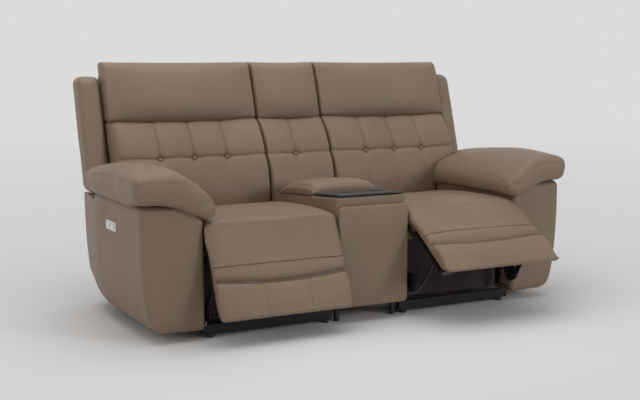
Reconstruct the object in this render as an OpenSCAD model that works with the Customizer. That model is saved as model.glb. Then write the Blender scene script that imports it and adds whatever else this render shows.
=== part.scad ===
// Two-seat power recliner with a centre console.
// Each seat has its own base, gliding seat carriage, reclining back and swinging footrest.
// X runs to the sitter's left-hand side as seen from the front (viewer's right), Y to the back, Z up.
// The seats are drawn for the right half and mirrored for the left half.

/* [Plan] */
// Width of the console between the two seats
console_w = 316; // [260:2:360]
// Free width between the console and each arm
seat_gap_w = 548; // [500:2:600]
// Width of each arm box at its top
arm_w = 249; // [220:1:280]
// Y of the arm fronts
arm_front_y = -315; // [-335:1:-300]
// Y of the arm boxes' rear ends
arm_rear_y = 505; // [490:1:530]
// How far the arm pad stands out past the arm box
pad_overhang = 30; // [15:1:35]

/* [Heights] */
// Top of the back cushions
back_top = 1020; // [980:1:1060]
// Height of the seam below the headrest
seam_z = 777; // [755:1:800]
// Height of the row of tufting buttons
tuft_z = 620; // [600:1:640]
// Top of the seat cushion at its middle
seat_top = 458; // [450:1:466]
// Underside of the seat cushion
seat_base_z = 304; // [300:1:308]
// Top of the arm boxes, under the pads
arm_top = 480; // [470:1:486]
// Underside of the arm boxes
arm_base_z = 38; // [30:1:45]
// Highest point of the arm pads
pad_top = 646; // [630:1:660]
// Top of the side wings
wing_top = 958; // [930:1:975]

/* [Backs] */
// Y of the back cushion's face where it meets the seat
back_y = 261; // [259:1:266]
// Y of the face at the headrest seam
seam_y = 403; // [395:1:412]
// Y of the face at the top
top_y = 470; // [455:1:482]
// Bulge of the headrest in front of its straight line
head_bulge = 22; // [12:1:28]
// Y of the rear face at the level of the recline pivots
rear_foot_y = 429.7; // [420:0.1:438]
// Lean of the rear face from upright
lean = 16.2; // [15:0.1:17]
// Thickness of the plywood back shell with its rear cover
shell_t = 60; // [50:1:70]
// Lowest point of the back shell
shell_low_z = 250; // [245:1:270]
// Width of the wing beside each back
wing_w = 92; // [80:1:94]
// Front to back size of a wing
wing_t = 118; // [95:1:120]
// Spacing of the tufting buttons
tuft_pitch = 151; // [140:1:165]
// Radius of a tufting button
tuft_r = 11; // [8:0.5:14]

/* [Footrest] */
// Y of the axis that the footrest swings about
swing_y = -310; // [-314:1:-308]
// Height of that axis
swing_z = 415; // [412:1:418]
// Distance from the axis down to the far edge of the pad
pad_reach = 362; // [345:1:364]
// Thickness of the footrest pad
foot_pad_t = 45; // [38:1:46]
// Thickness of the footrest board
foot_board_t = 9; // [6:1:9]
// Angle of the left footrest from its closed place
left_open = 23; // [0:1:60]
// Angle of the right footrest from its closed place
right_open = 55; // [0:1:60]
// Full swing of a footrest
full_swing = 88; // [80:1:88]

/* [Linkage] */
// How far the crank axle lies behind the swing axis
crank_back = 90; // [86:1:94]
// How far the crank axle lies below the swing axis
crank_drop = 150; // [148:1:152]
// How far the rod's lug lies behind the swing axis when closed
lug_back = 45; // [42:1:48]
// How far that lug lies below the swing axis when closed
lug_drop = 195; // [188:1:197]
// Half the width of a link
link_r = 13; // [11:0.5:13]
// Thickness of a link
link_t = 3.5; // [3:0.1:3.6]
// Radius of the pins at the knee and the lug
pin_r = 4; // [3.5:0.1:4.5]
// Radius of the crank axle's ends
axle_r = 6; // [5:0.5:7]
// Radius of the swing and recline pins
hinge_r = 5; // [4.5:0.1:5.5]
// Running clearance of a pin in its bore
run_fit = 0.05; // [0.04:0.01:0.08]
// Clearance of the lug pin, the pivot where the closed linkage is parted
open_fit = 0.6; // [0.5:0.1:0.9]
// Radius of the drive tube
tube_r = 12.7; // [11:0.1:13]
// Length of the lever on the drive tube
lever = 60; // [56:1:62]
// Radius of the lever's pin
lever_pin_r = 5; // [4:0.5:6]

/* [Base] */
// Height of the feet under the seat bases
foot_h = 15; // [12:1:20]
// Height of a base rail
rail_h = 35; // [32:1:36]
// Depth of a base rail
rail_d = 25; // [20:1:28]
// Y of the front rail's front face
rail_front_y = -283; // [-286:1:-280]
// Y of the rear rail's rear face
rail_rear_y = 343; // [335:1:350]
// Height of the slide tracks
track_h = 14; // [13:1:15]
// Width of the slide tracks
track_w = 15; // [14.5:0.5:15.5]
// Wall of the slide tracks
track_t = 1.5; // [1.2:0.1:1.6]
// Radius of a foot
foot_r = 14; // [11:1:16]

/* [Recline] */
// Y of the recline pivots
recline_y = 330; // [328:1:334]
// Height of the recline pivots
recline_z = 340; // [336:1:344]

/* [Console] */
// Underside of the console
console_low_z = 56; // [54:1:60]
// Top of the console's front part, under the tray
console_top = 500; // [490:1:506]
// Y of the console's front board
console_front_y = -322; // [-330:1:-315]
// Thickness of the padded panel on the console's front
front_pad_t = 23; // [18:1:28]
// Wall of the console box
console_wall = 16; // [12:1:18]
// Y where the tray ends and the lid starts
lid_front_y = -112; // [-120:1:-105]
// Y of the lid's rear edge
lid_rear_y = 220; // [214:1:222]
// Height of the box's rim under the lid's front edge
lid_front_z = 482; // [478:1:486]
// Height of the box's rim under the lid's rear edge
lid_rear_z = 459; // [456:1:462]
// Thickness of the lid at its middle
lid_t = 62; // [55:1:64]
// Depth of the storage bin
bin_floor_z = 250; // [220:1:300]
// Thickness of the cup tray's plate
tray_t = 14; // [10:1:16]
// Radius of a cup well
cup_r = 42; // [38:1:46]
// Depth of a cup well
cup_depth = 68; // [55:1:80]
// Radius of the lid's hinge pin
lid_pin_r = 3; // [2.5:0.1:3.5]

/* [Switches] */
// Y of the middle of a switch plate
switch_y = 25; // [0:1:50]
// Height of the middle of a switch plate
switch_z = 403; // [396:1:408]
// Length of a switch plate
switch_l = 120; // [110:1:130]
// Height of a switch plate
switch_h = 35; // [32:1:40]
// Length of a push button
button_l = 36; // [30:1:40]
// Height of a push button
button_h = 19; // [16:1:20]
// Free travel of a push button
button_travel = 2; // [1.5:0.5:2]

/* [Hidden] */
$fn = 48;

// Clearance between a soft piece and its neighbours, between stacked hard pieces and between seated ones
soft_gap = 3;
hard_gap = 0.5;
seat_gap = 0.3;

// Places across the sofa
console_x = console_w / 2;
arm_in_x = console_x + seat_gap_w;
arm_out_x = arm_in_x + arm_w;
seat_x = (console_x + arm_in_x) / 2;
half_gap = seat_gap_w / 2;

// Planes of the mechanism, measured out from a seat's middle
track_x = half_gap - track_w;
plate_x = track_x + (track_w - link_t) / 2;
arm_gap = 0.8;
rod_gap = 1.9;
arm_plane_x = plate_x - arm_gap - link_t;
rod_plane_x = arm_plane_x - rod_gap - link_t;
crank_plane_x = rod_plane_x - hard_gap - link_t;
cushion_half = floor(arm_plane_x) - soft_gap;

// Points of the mechanism in the plane of Y and Z
swing_axis = [swing_y, swing_z];
crank_axis = swing_axis + [crank_back, -crank_drop];
lug_closed = [lug_back, -lug_drop];
recline_axis = [recline_y, recline_z];
rail_z = foot_h + rail_h;

// Faces of the footrest, measured from the swing axis when closed
foot_face = -30;
foot_back = foot_face + foot_pad_t;
foot_end_gap = 20;
nose_r = foot_end_gap - soft_gap;
cushion_front_y = swing_y + foot_back + foot_board_t + 6;
cushion_rear_y = back_y - 6;

// Outline helpers
function unit(v) = v / norm(v);
function turned(p, a) = [p.x * cos(a) + p.y * sin(a), p.y * cos(a) - p.x * sin(a)];
function corner(a, b, c, r) =
    let (u = unit(a - b), w = unit(c - b), half = acos(u * w) / 2)
    let (m = b + unit(u + w) * r / sin(half), p = b + u * r / tan(half), q = b + w * r / tan(half))
    let (start = atan2(p.y - m.y, p.x - m.x), end = atan2(q.y - m.y, q.x - m.x))
    let (sweep = (end - start + 540) % 360 - 180)
    [for (i = [0:5]) m + r * [cos(start + sweep * i / 5), sin(start + sweep * i / 5)]];
function rounded(pts, radii) =
    let (n = len(pts))
    [for (i = [0:n - 1])
        each (radii[i] > 0 ? corner(pts[(i + n - 1) % n], pts[i], pts[(i + 1) % n], radii[i]) : [pts[i]])];
function blend_z(z, low, high) = (z - low) / (high - low);

// Faces of the backs
function lumbar_y(z) = back_y + (seam_y - back_y) * pow(max(0, blend_z(z, seat_top - 28, seam_z)), 2.2);
function head_y(z) =
    let (t = blend_z(z, seam_z, back_top))
    seam_y + (top_y - seam_y) * t - head_bulge * sin(180 * t);
function rear_y(z) = rear_foot_y + (z - recline_z) * tan(lean);
function shell_y(z) = rear_y(z) - shell_t;

// Solids from outlines
module along_x(x, t) { translate([x, 0, 0]) rotate([90, 0, 90]) linear_extrude(t) children(); }
module along_y(y, t) { translate([0, y + t, 0]) rotate([90, 0, 0]) linear_extrude(t) children(); }
module seat_half(side) {
    if (side < 0) mirror([1, 0, 0]) translate([seat_x, 0, 0]) children();
    else translate([seat_x, 0, 0]) children();
}
module half(side) {
    if (side < 0) mirror([1, 0, 0]) children();
    else children();
}
module both_sides() { for (s = [0, 1]) mirror([s, 0, 0]) children(); }
module bar(p, q, r) {
    across = unit([q.y - p.y, p.x - q.x]) * r;
    translate(p) circle(r);
    translate(q) circle(r);
    polygon([p + across, q + across, q - across, p - across]);
}
module hole(p, r) { translate(p) circle(r); }
module pin_x(p, r, x0, x1) { translate([x0, p.x, p.y]) rotate([0, 90, 0]) cylinder(r = r, h = x1 - x0); }
module swung(angle) {
    translate([0, swing_y, swing_z]) rotate([-angle, 0, 0]) translate([0, -swing_y, -swing_z]) children();
}
module cranked(angle) {
    translate([0, crank_axis.x, crank_axis.y]) rotate([-angle, 0, 0])
        translate([0, -crank_axis.x, -crank_axis.y]) children();
}
function open_of(side) = side < 0 ? left_open : right_open;

leather = [0.50, 0.43, 0.37];
steel = [0.13, 0.13, 0.14];
zinc = [0.62, 0.63, 0.65];
plastic = [0.10, 0.10, 0.11];
timber = [0.72, 0.58, 0.40];

// Arms
arm_section = [[arm_in_x, arm_base_z], [arm_out_x - 75, arm_base_z], [arm_out_x - 37, arm_base_z + 82],
    [arm_out_x - 17, arm_base_z + 178], [arm_out_x - 7, arm_base_z + 292], [arm_out_x, arm_top],
    [arm_in_x, arm_top]];
arm_side = [[arm_front_y, arm_base_z], [arm_rear_y, arm_base_z], [arm_rear_y, arm_top], [arm_front_y, arm_top]];
arm_plan = [[arm_in_x, arm_front_y], [arm_out_x, arm_front_y], [arm_out_x, arm_rear_y - 300],
    [arm_out_x - 10, arm_rear_y - 130], [arm_out_x - 45, arm_rear_y], [arm_in_x, arm_rear_y]];
back_out_x = arm_in_x + 128;
notch_x = back_out_x + 4;
notch_y = back_y + 24;
notch_z = shell_low_z + 110;
frame_board = 18;
cavity_low = [arm_in_x + 14, arm_front_y + 16, arm_base_z + 14];
cavity_high = [arm_out_x - 80, notch_y - 20, arm_top - 16];
module arm_cavity() {
    size = cavity_high - cavity_low;
    translate(cavity_low) cube(size);
}
module switch_pocket() {
    translate([switch_floor_x, switch_y - switch_l / 2 - hard_gap, switch_z - switch_h / 2 - hard_gap])
        cube([40, switch_l + 2 * hard_gap, switch_h + 2 * hard_gap]);
}
module arm_cover(side) {
    color(leather) half(side) difference() {
        intersection() {
            along_y(arm_front_y, arm_rear_y - arm_front_y)
                polygon(rounded(arm_section, [0, 30, 120, 200, 200, 20, 0]));
            along_x(arm_in_x, arm_w) polygon(rounded(arm_side, [18, 90, 0, 0]));
            linear_extrude(arm_top) polygon(rounded(arm_plan, [0, 14, 300, 150, 40, 0]));
        }
        arm_cavity();
        translate([arm_in_x - 1, notch_y, notch_z])
            cube([notch_x - arm_in_x + 1, arm_rear_y - notch_y + 1, arm_top]);
        switch_pocket();
    }
}
module arm_frames() {
    size = cavity_high - cavity_low;
    color(timber) both_sides() difference() {
        arm_cavity();
        translate(cavity_low + [-1, frame_board, frame_board])
            cube([size.x + 2, size.y - 2 * frame_board, size.z - 2 * frame_board]);
    }
}

// Arm pads
pad_in_x = arm_in_x - 17;
pad_out_x = arm_out_x + pad_overhang;
pad_low = arm_top - 32;
pad_front_y = arm_front_y - 38;
pad_rear_y = rear_y(arm_top) - wing_t - 5;
pad_side = [[pad_front_y, pad_low], [pad_rear_y, pad_low], [pad_rear_y, pad_top - 48],
    [back_y - 60, pad_top - 26], [arm_front_y + 260, pad_top], [arm_front_y + 60, pad_top - 8],
    [pad_front_y, pad_top - 62]];
pad_section = [[pad_in_x + 8, pad_low], [pad_in_x + 60, pad_low + 18], [pad_in_x + 130, arm_top + 1],
    [pad_out_x - 16, arm_top + 14], [pad_out_x, pad_top - 90], [pad_out_x - 60, pad_top - 12],
    [pad_out_x - 140, pad_top], [pad_in_x + 60, pad_top - 26], [pad_in_x, pad_top - 92]];
pad_plan = [[pad_in_x, pad_front_y], [pad_out_x, pad_front_y], [pad_out_x, pad_rear_y], [pad_in_x, pad_rear_y]];
module back_front_cut(gap) {
    polygon(concat([for (z = [pad_low - 20:30:seam_z]) [lumbar_y(z) - gap, z]], [[pad_rear_y + 60, seam_z],
        [pad_rear_y + 60, pad_low - 20]]));
}
module arm_pad(side) {
    color(leather) half(side) difference() {
        intersection() {
            along_x(pad_in_x, pad_out_x - pad_in_x) polygon(rounded(pad_side, [50, 20, 12, 100, 160, 60, 70]));
            along_y(pad_front_y, pad_rear_y - pad_front_y)
                polygon(rounded(pad_section, [12, 60, 120, 24, 40, 80, 120, 60, 40]));
            linear_extrude(pad_top) polygon(rounded(pad_plan, [60, 60, 30, 0]));
        }
        along_x(pad_in_x - 1, notch_x - pad_in_x + 1) back_front_cut(5);
        translate([arm_in_x - 0.1, arm_front_y, 0])
            cube([arm_w + 0.1, arm_rear_y - arm_front_y, arm_top + hard_gap]);
        translate([arm_in_x - 0.1, pad_front_y - 1, 0]) cube([arm_w + 100, 60, arm_top - 22]);
    }
}

// Wings beside the backs
wing_x = back_out_x + 6;
module side_wings() {
    wing_side = [[rear_y(arm_top) - wing_t, arm_top], [rear_y(arm_top), arm_top],
        [rear_y(wing_top), wing_top], [rear_y(wing_top) - wing_t, wing_top]];
    wing_section = [[wing_x, arm_top], [wing_x + wing_w, arm_top], [wing_x + wing_w, wing_top], [wing_x, wing_top]];
    color(leather) both_sides() intersection() {
        along_x(wing_x, wing_w) polygon(rounded(wing_side, [0, 0, 30, 38]));
        along_y(0, arm_rear_y + 300) polygon(rounded(wing_section, [0, 0, 40, 22]));
        wing_roll();
    }
}
module wing_roll() {
    // The plan of the roll leans with the rear face, so it is sheared by the lean
    roll = rounded([[wing_x, 0], [wing_x + wing_w, 0], [wing_x + wing_w, wing_t], [wing_x, wing_t]],
        [30, 44, 24, 10]);
    multmatrix([[1, 0, 0, 0], [0, 1, tan(lean), rear_y(arm_top) - wing_t - arm_top * tan(lean)],
        [0, 0, 1, 0], [0, 0, 0, 1]])
        translate([0, 0, arm_top]) linear_extrude(wing_top - arm_top) polygon(roll);
}

// Switches
switch_floor_x = arm_out_x - 8;
plate_depth = 6.5;
button_gap = hard_gap;
function button_y(which) = switch_y + which * switch_l / 4.4;
module switch_plates() {
    color(zinc) both_sides() difference() {
        translate([switch_floor_x, switch_y, switch_z]) rotate([90, 0, 90])
            linear_extrude(plate_depth) polygon(rounded([[-switch_l / 2, -switch_h / 2],
                [switch_l / 2, -switch_h / 2], [switch_l / 2, switch_h / 2], [-switch_l / 2, switch_h / 2]],
                [5, 5, 5, 5]));
        for (w = [-1, 1]) translate([switch_floor_x - 1, button_y(w) - button_l / 2 - button_gap,
            switch_z - button_h / 2 - button_gap])
            cube([plate_depth + 2, button_l + 2 * button_gap, button_h + 2 * button_gap]);
    }
}
module push_button(side, which) {
    color(zinc) half(side) translate([switch_floor_x + button_travel + hard_gap, button_y(which), switch_z])
        rotate([90, 0, 90]) linear_extrude(plate_depth + 1.5)
            polygon(rounded([[-button_l / 2, -button_h / 2], [button_l / 2, -button_h / 2],
                [button_l / 2, button_h / 2], [-button_l / 2, button_h / 2]], [2, 2, 2, 2]));
}

// Bases
module base_rails() {
    color(steel) both_sides() for (y = [rail_front_y, rail_rear_y - rail_d])
        translate([console_x, y, foot_h]) {
            cube([seat_gap_w, rail_d, rail_h]);
            translate([0, -4, 0]) cube([seat_gap_w, 4, 4]);
        }
}
module slide_tracks() {
    length = rail_rear_y - rail_front_y;
    color(zinc) both_sides() translate([seat_x, rail_front_y, rail_z]) both_sides()
        difference() {
            translate([track_x, 0, 0]) cube([track_w, length, track_h]);
            translate([track_x + track_t, -1, 2]) cube([track_w - 2 * track_t, length + 2, track_h]);
        }
}
module foot(x, y, h, r) {
    translate([x, y, 0]) cylinder(r = r, h = h);
}
module feet() {
    rail_middles = [rail_front_y + rail_d / 2, rail_rear_y - rail_d / 2];
    color(plastic) both_sides() for (y = rail_middles) {
        foot(seat_x + half_gap - 34, y, foot_h, foot_r);
        foot(seat_x - half_gap + 24, y, foot_h, foot_r);
    }
    color(plastic) both_sides() for (y = [rail_front_y + rail_d / 2, console_rear_y - 28])
        foot(console_x - 28, y, console_low_z, foot_r - 2);
}
module rear_dust_panels() {
    color([0.16, 0.12, 0.12]) both_sides()
        translate([console_x, rail_rear_y, foot_h + 4]) cube([seat_gap_w, 3, shell_low_z - foot_h - 40]);
}

// Console
console_rear_y = back_y - seat_gap;
bin_side = console_x - console_wall;
console_floor_z = console_low_z + console_wall;
lid_slope = (lid_front_z - lid_rear_z) / (lid_rear_y - lid_front_y);
function rim_z(y) = lid_front_z - (y - lid_front_y) * lid_slope;
module console_box() {
    outline = [[console_front_y, console_low_z], [console_rear_y, console_low_z],
        [console_rear_y, rim_z(console_rear_y)], [lid_front_y, lid_front_z], [lid_front_y, console_top],
        [console_front_y, console_top]];
    color(leather) difference() {
        along_x(-console_x, console_w) polygon(rounded(outline, [6, 0, 0, 0, 0, 10]));
        translate([-bin_side, lid_front_y + console_wall, bin_floor_z])
            cube([2 * bin_side, lid_rear_y - 8 - lid_front_y - console_wall, console_top]);
        translate([-bin_side, console_front_y + console_wall, bin_floor_z])
            cube([2 * bin_side, lid_front_y - console_front_y - console_wall, console_top]);
        translate([-bin_side, console_front_y + console_wall, console_floor_z])
            cube([2 * bin_side, console_rear_y - console_front_y, bin_floor_z - console_wall - console_floor_z]);
    }
    color(steel) for (x = [-90, 0, 90]) hinge_ear(x);
}
lid_axis = [lid_rear_y + 12, rim_z(lid_rear_y + 12) + lid_pin_r + 3];
ear_w = 30;
module hinge_ear(x) {
    along_x(x - ear_w / 2, ear_w) difference() {
        union() {
            hole(lid_axis, lid_pin_r + 2);
            translate([lid_axis.x - lid_pin_r - 2, rim_z(lid_axis.x) - 1.5])
                square([2 * lid_pin_r + 4, lid_axis.y - rim_z(lid_axis.x) + 1.5]);
        }
        hole(lid_axis, lid_pin_r + run_fit);
    }
}
module lid_hinge_pin() { color(zinc) pin_x(lid_axis, lid_pin_r, -90 - ear_w / 2, 90 + ear_w / 2); }
module console_lid() {
    low = 0.4;
    outline = [[lid_front_y, rim_z(lid_front_y) + low], [lid_rear_y, rim_z(lid_rear_y) + low],
        [lid_rear_y - 2, lid_rear_z + 26], [lid_rear_y - 40, lid_rear_z + lid_t - 9],
        [lid_rear_y - 150, lid_front_z + lid_t - 8], [lid_front_y + 40, lid_front_z + lid_t - 6],
        [lid_front_y, lid_front_z + 38]];
    color(leather) intersection() {
        along_x(-console_x + 8, console_w - 16) polygon(rounded(outline, [4, 6, 20, 40, 120, 30, 16]));
        along_y(lid_front_y - 1, lid_rear_y - lid_front_y + 2)
            polygon(rounded([[-console_x + 8, 400], [console_x - 8, 400], [console_x - 8, lid_front_z + lid_t],
                [-console_x + 8, lid_front_z + lid_t]], [0, 0, 26, 26]));
    }
    color(steel) for (x = [-45, 45]) along_x(x - ear_w / 2, ear_w) difference() {
        union() {
            hole(lid_axis, lid_pin_r + 2);
            translate([lid_rear_y - 8, lid_axis.y - 2]) square([lid_axis.x - lid_rear_y + 8, 4]);
        }
        hole(lid_axis, lid_pin_r + run_fit);
    }
}
module cup_tray() {
    middle = (console_front_y + lid_front_y) / 2;
    depth = lid_front_y - console_front_y;
    difference() {
        color(plastic) union() {
            translate([0, middle, console_top]) linear_extrude(tray_t)
                polygon(rounded([[-console_x + 6, 1 - depth / 2], [console_x - 6, 1 - depth / 2],
                    [console_x - 6, depth / 2 - 2], [-console_x + 6, depth / 2 - 2]], [12, 12, 4, 4]));
            for (s = [-1, 1]) translate([s * console_w / 4.6, middle, console_top - cup_depth])
                cylinder(r = cup_r + 3, h = cup_depth + 1);
        }
        for (s = [-1, 1]) translate([s * console_w / 4.6, middle, console_top - cup_depth + 3])
            cylinder(r = cup_r, h = cup_depth + tray_t);
    }
}
module console_front_pad() {
    color(leather) intersection() {
        translate([0, 0, console_low_z]) linear_extrude(console_top - 34 - console_low_z)
            polygon(rounded([[-console_x, console_front_y - front_pad_t], [console_x, console_front_y - front_pad_t],
                [console_x, console_front_y], [-console_x, console_front_y]], [16, 16, 0, 0]));
        along_x(-console_x, console_w)
            polygon(rounded([[console_front_y - front_pad_t, console_low_z], [console_front_y, console_low_z],
                [console_front_y, console_top - 34], [console_front_y - front_pad_t, console_top - 34]],
                [14, 0, 0, 16]));
    }
}
// The supply stands on the console's floor, with its mains inlet facing the open rear
supply_size = [160, 42, 70];
inlet_size = [28, 20, 20];
module power_supply() {
    rear_y = console_rear_y - 20;
    color(plastic) difference() {
        translate([-supply_size.x / 2, rear_y - supply_size.y, console_floor_z]) cube(supply_size);
        translate([20 - supply_size.x / 2, rear_y - 12, console_floor_z + 24]) cube(inlet_size);
    }
}

// Backs
function lumbar_outline(low) = concat(
    [for (i = [0:10]) let (z = low + (seam_z - 2 - low) * i / 10) [lumbar_y(z), z]],
    [[shell_y(seam_z - 2) - hard_gap, seam_z - 2], [shell_y(low) - hard_gap, low]]);
function head_outline() = concat(
    [for (i = [0:8]) let (z = seam_z + (back_top - 26 - seam_z) * i / 8) [head_y(z), z]],
    corner([head_y(back_top - 26), back_top - 26], [top_y + 2, back_top], [top_y + 90, back_top], 22),
    [[shell_y(back_top) - hard_gap, back_top], [shell_y(seam_z) - hard_gap, seam_z]]);
back_low_z = recline_z + 5;
narrow_z = 500;
wide_z = 520;
back_in = -half_gap + 5;
back_out = back_out_x - seat_x;
module back_front() {
    // Seen from the front: narrow beside the seat, full width above the arm
    polygon(rounded([[-cushion_half, back_low_z], [cushion_half, back_low_z], [cushion_half, narrow_z],
        [half_gap - 6, narrow_z], [half_gap - 6, wide_z], [back_out, wide_z], [back_out, seam_z],
        [back_in, seam_z], [back_in, narrow_z], [-cushion_half, narrow_z]],
        [20, 20, 0, 0, 0, 20, 8, 8, 0, 0]));
}
tuft_xs = [-tuft_pitch, 0, tuft_pitch];
tuft_mid = (back_in + back_out) / 2;
module tuft_place(x) {
    slope = atan2(lumbar_y(tuft_z + 10) - lumbar_y(tuft_z - 10), 20);
    translate([x, lumbar_y(tuft_z), tuft_z]) rotate([90 - slope, 0, 0]) children();
}
module lumbar_cushion(side) {
    color(leather) seat_half(side) difference() {
        intersection() {
            along_x(back_in, back_out - back_in) polygon(lumbar_outline(back_low_z));
            along_y(back_y - 20, 400) back_front();
        }
        for (x = tuft_xs) tuft_place(tuft_mid + x) translate([0, 0, -8]) cylinder(r = tuft_r + 0.4, h = 30);
    }
}
module tuft_buttons(side) {
    color(leather) seat_half(side) for (x = tuft_xs) tuft_place(tuft_mid + x) tuft();
}
module tuft() {
    translate([0, 0, -7.6]) cylinder(r = tuft_r, h = 5);
    translate([0, 0, -2.6]) rotate_extrude() intersection() {
        square([tuft_r, 5]);
        translate([0, -tuft_r * 1.1]) circle(tuft_r * 1.5);
    }
}
module headrest(side) {
    color(leather) seat_half(side) intersection() {
        along_x(back_in, back_out - back_in) polygon(head_outline());
        along_y(back_y, 500) polygon(rounded([[back_in, seam_z], [back_out, seam_z], [back_out, back_top],
            [back_in, back_top]], [6, 6, 26, 26]));
    }
}
module back_shell(side) {
    outline = [[shell_y(shell_low_z), shell_low_z], [rear_y(shell_low_z), shell_low_z],
        [rear_y(back_top - 6), back_top - 6], [shell_y(back_top - 6), back_top - 6]];
    color(leather) seat_half(side) intersection() {
        along_x(back_in, back_out - back_in) polygon(rounded(outline, [0, 20, 34, 0]));
        along_y(back_y, 500) polygon(rounded([[-cushion_half, shell_low_z], [cushion_half, shell_low_z],
            [cushion_half, narrow_z], [half_gap - 6, narrow_z], [half_gap - 6, wide_z], [back_out, wide_z],
            [back_out, back_top - 6], [back_in, back_top - 6], [back_in, narrow_z], [-cushion_half, narrow_z]],
            [12, 12, 0, 0, 0, 20, 30, 30, 0, 0]));
    }
}
module back_brackets(side) {
    foot = recline_axis;
    head = [shell_y(narrow_z) + 22, narrow_z - 24];
    color(steel) seat_half(side) both_sides() {
        along_x(arm_plane_x, link_t) difference() {
            bar(foot, head, 16);
            hole(foot, hinge_r + run_fit);
        }
        along_x(cushion_half, arm_plane_x - cushion_half) bar([shell_y(430) + 25, 430], head, 14);
    }
}
module console_back() {
    outline = concat(
        [for (i = [0:10]) let (z = console_back_low + (seam_z - console_back_low) * i / 10) [lumbar_y(z), z]],
        [for (i = [1:8]) let (z = seam_z + (back_top - 26 - seam_z) * i / 8) [head_y(z), z]],
        corner([head_y(back_top - 26), back_top - 26], [top_y + 2, back_top], [top_y + 90, back_top], 22),
        corner([top_y, back_top], [rear_y(back_top), back_top], [rear_y(900), 900], 34),
        [[rear_y(console_back_low), console_back_low]]);
    color(leather) {
        difference() {
            intersection() {
                along_x(-console_x, console_w) polygon(outline);
                along_y(back_y - 20, 500) polygon(rounded([[-console_x, console_back_low],
                    [console_x, console_back_low], [console_x, back_top], [-console_x, back_top]],
                    [0, 0, 24, 24]));
            }
            tuft_place(0) translate([0, 0, -8]) cylinder(r = tuft_r + 0.4, h = 30);
        }
        tuft_place(0) translate([0, 0, -8]) scale([1.05, 1.05, 1]) tuft();
    }
}
console_back_low = 190;

// Seats
module seat_cushion(side) {
    nose = [for (a = [-90:-18:-270]) swing_axis + nose_r * [cos(a), sin(a)]];
    outline = concat([[cushion_front_y, seat_base_z], [cushion_front_y, swing_z - nose_r]], nose,
        [[swing_y + 50, seat_top - 12], [swing_y + 200, seat_top], [swing_y + 400, seat_top - 2],
        [cushion_rear_y - 40, seat_top - 16], [cushion_rear_y, seat_top - 34], [cushion_rear_y, seat_base_z]]);
    section = [[-cushion_half, seat_base_z], [cushion_half, seat_base_z], [cushion_half, seat_top - 42],
        [cushion_half - 20, seat_top - 22], [cushion_half - 80, seat_top - 7], [0, seat_top + 2],
        [80 - cushion_half, seat_top - 7], [20 - cushion_half, seat_top - 22], [-cushion_half, seat_top - 42]];
    color(leather) seat_half(side) intersection() {
        along_x(-cushion_half, 2 * cushion_half) polygon(outline);
        along_y(swing_y - 40, 700) polygon(rounded(section, [0, 0, 10, 30, 60, 200, 60, 30, 10]));
    }
}
frame_z = seat_base_z - 20;
beam_w = 32;
frame_half = cushion_half - 2;
frame_front_y = cushion_front_y;
frame_rear_y = cushion_rear_y;
module seat_frame(side) {
    color(timber) seat_half(side) {
        difference() {
            translate([-frame_half, frame_front_y, frame_z])
                cube([2 * frame_half, frame_rear_y - frame_front_y, seat_base_z - frame_z]);
            translate([beam_w - frame_half, frame_front_y + beam_w, frame_z - 1])
                cube([2 * (frame_half - beam_w), frame_rear_y - frame_front_y - 2 * beam_w, 40]);
        }
    }
}
spring_bends = 12;
spring_wire = 4;
spring_half = 22;
module seat_springs(side) {
    start = frame_front_y + beam_w;
    pitch = (frame_rear_y - beam_w - start - spring_wire) / spring_bends;
    color(zinc) seat_half(side) for (x = [-160, -80, 0, 80, 160])
        translate([x, start, seat_base_z - 10]) for (i = [0:spring_bends]) {
            translate([-spring_half, i * pitch, 0]) cube([2 * spring_half, spring_wire, spring_wire]);
            if (i < spring_bends)
                translate([i % 2 == 0 ? spring_half - spring_wire : -spring_half, i * pitch, 0])
                    cube([spring_wire, pitch + spring_wire, spring_wire]);
        }
}
plate_low_z = rail_z + 8;
plate_front_y = -238;
flange_t = 3;
cross_tube_rear = [238, 165];
cross_tube_front = [-40, 108];
cross_r = 11;
module side_plates(side) {
    flange_z = frame_z - flange_t;
    shape = [[plate_front_y, plate_low_z], [262, plate_low_z], [300, 150], [recline_y + 15, recline_z - 4],
        [recline_y, recline_z + 14], [recline_y - 14, recline_z + 6], [266, flange_z],
        [crank_axis.x + 10, flange_z], [crank_axis.x - 20, swing_z - 23], [swing_y + 24, swing_z + 9],
        [swing_y + 4, swing_z + 8], [swing_y + 2, swing_z - 9], [swing_y + 17, swing_z - 17],
        [swing_y + 18, swing_z - 85], [swing_y + 44, flange_z]];
    color(steel) seat_half(side) {
        both_sides() {
            along_x(plate_x, link_t) difference() {
                union() {
                    polygon(shape);
                    hole(swing_axis, 12);
                    hole(recline_axis, 18);
                }
                hole(crank_axis, axle_r + run_fit);
            }
            translate([frame_half - beam_w, crank_axis.x + 10, flange_z])
                cube([plate_x + link_t - frame_half + beam_w, frame_rear_y - crank_axis.x - 30, flange_t]);
            pin_x(swing_axis, hinge_r, arm_plane_x - 0.5, plate_x + 1);
            pin_x(recline_axis, hinge_r, arm_plane_x - 0.5, plate_x + 1);
        }
        pin_x(cross_tube_rear, cross_r, -plate_x - 1, plate_x + 1);
        pin_x(cross_tube_front, cross_r, -plate_x - 1, plate_x + 1);
    }
}
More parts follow.
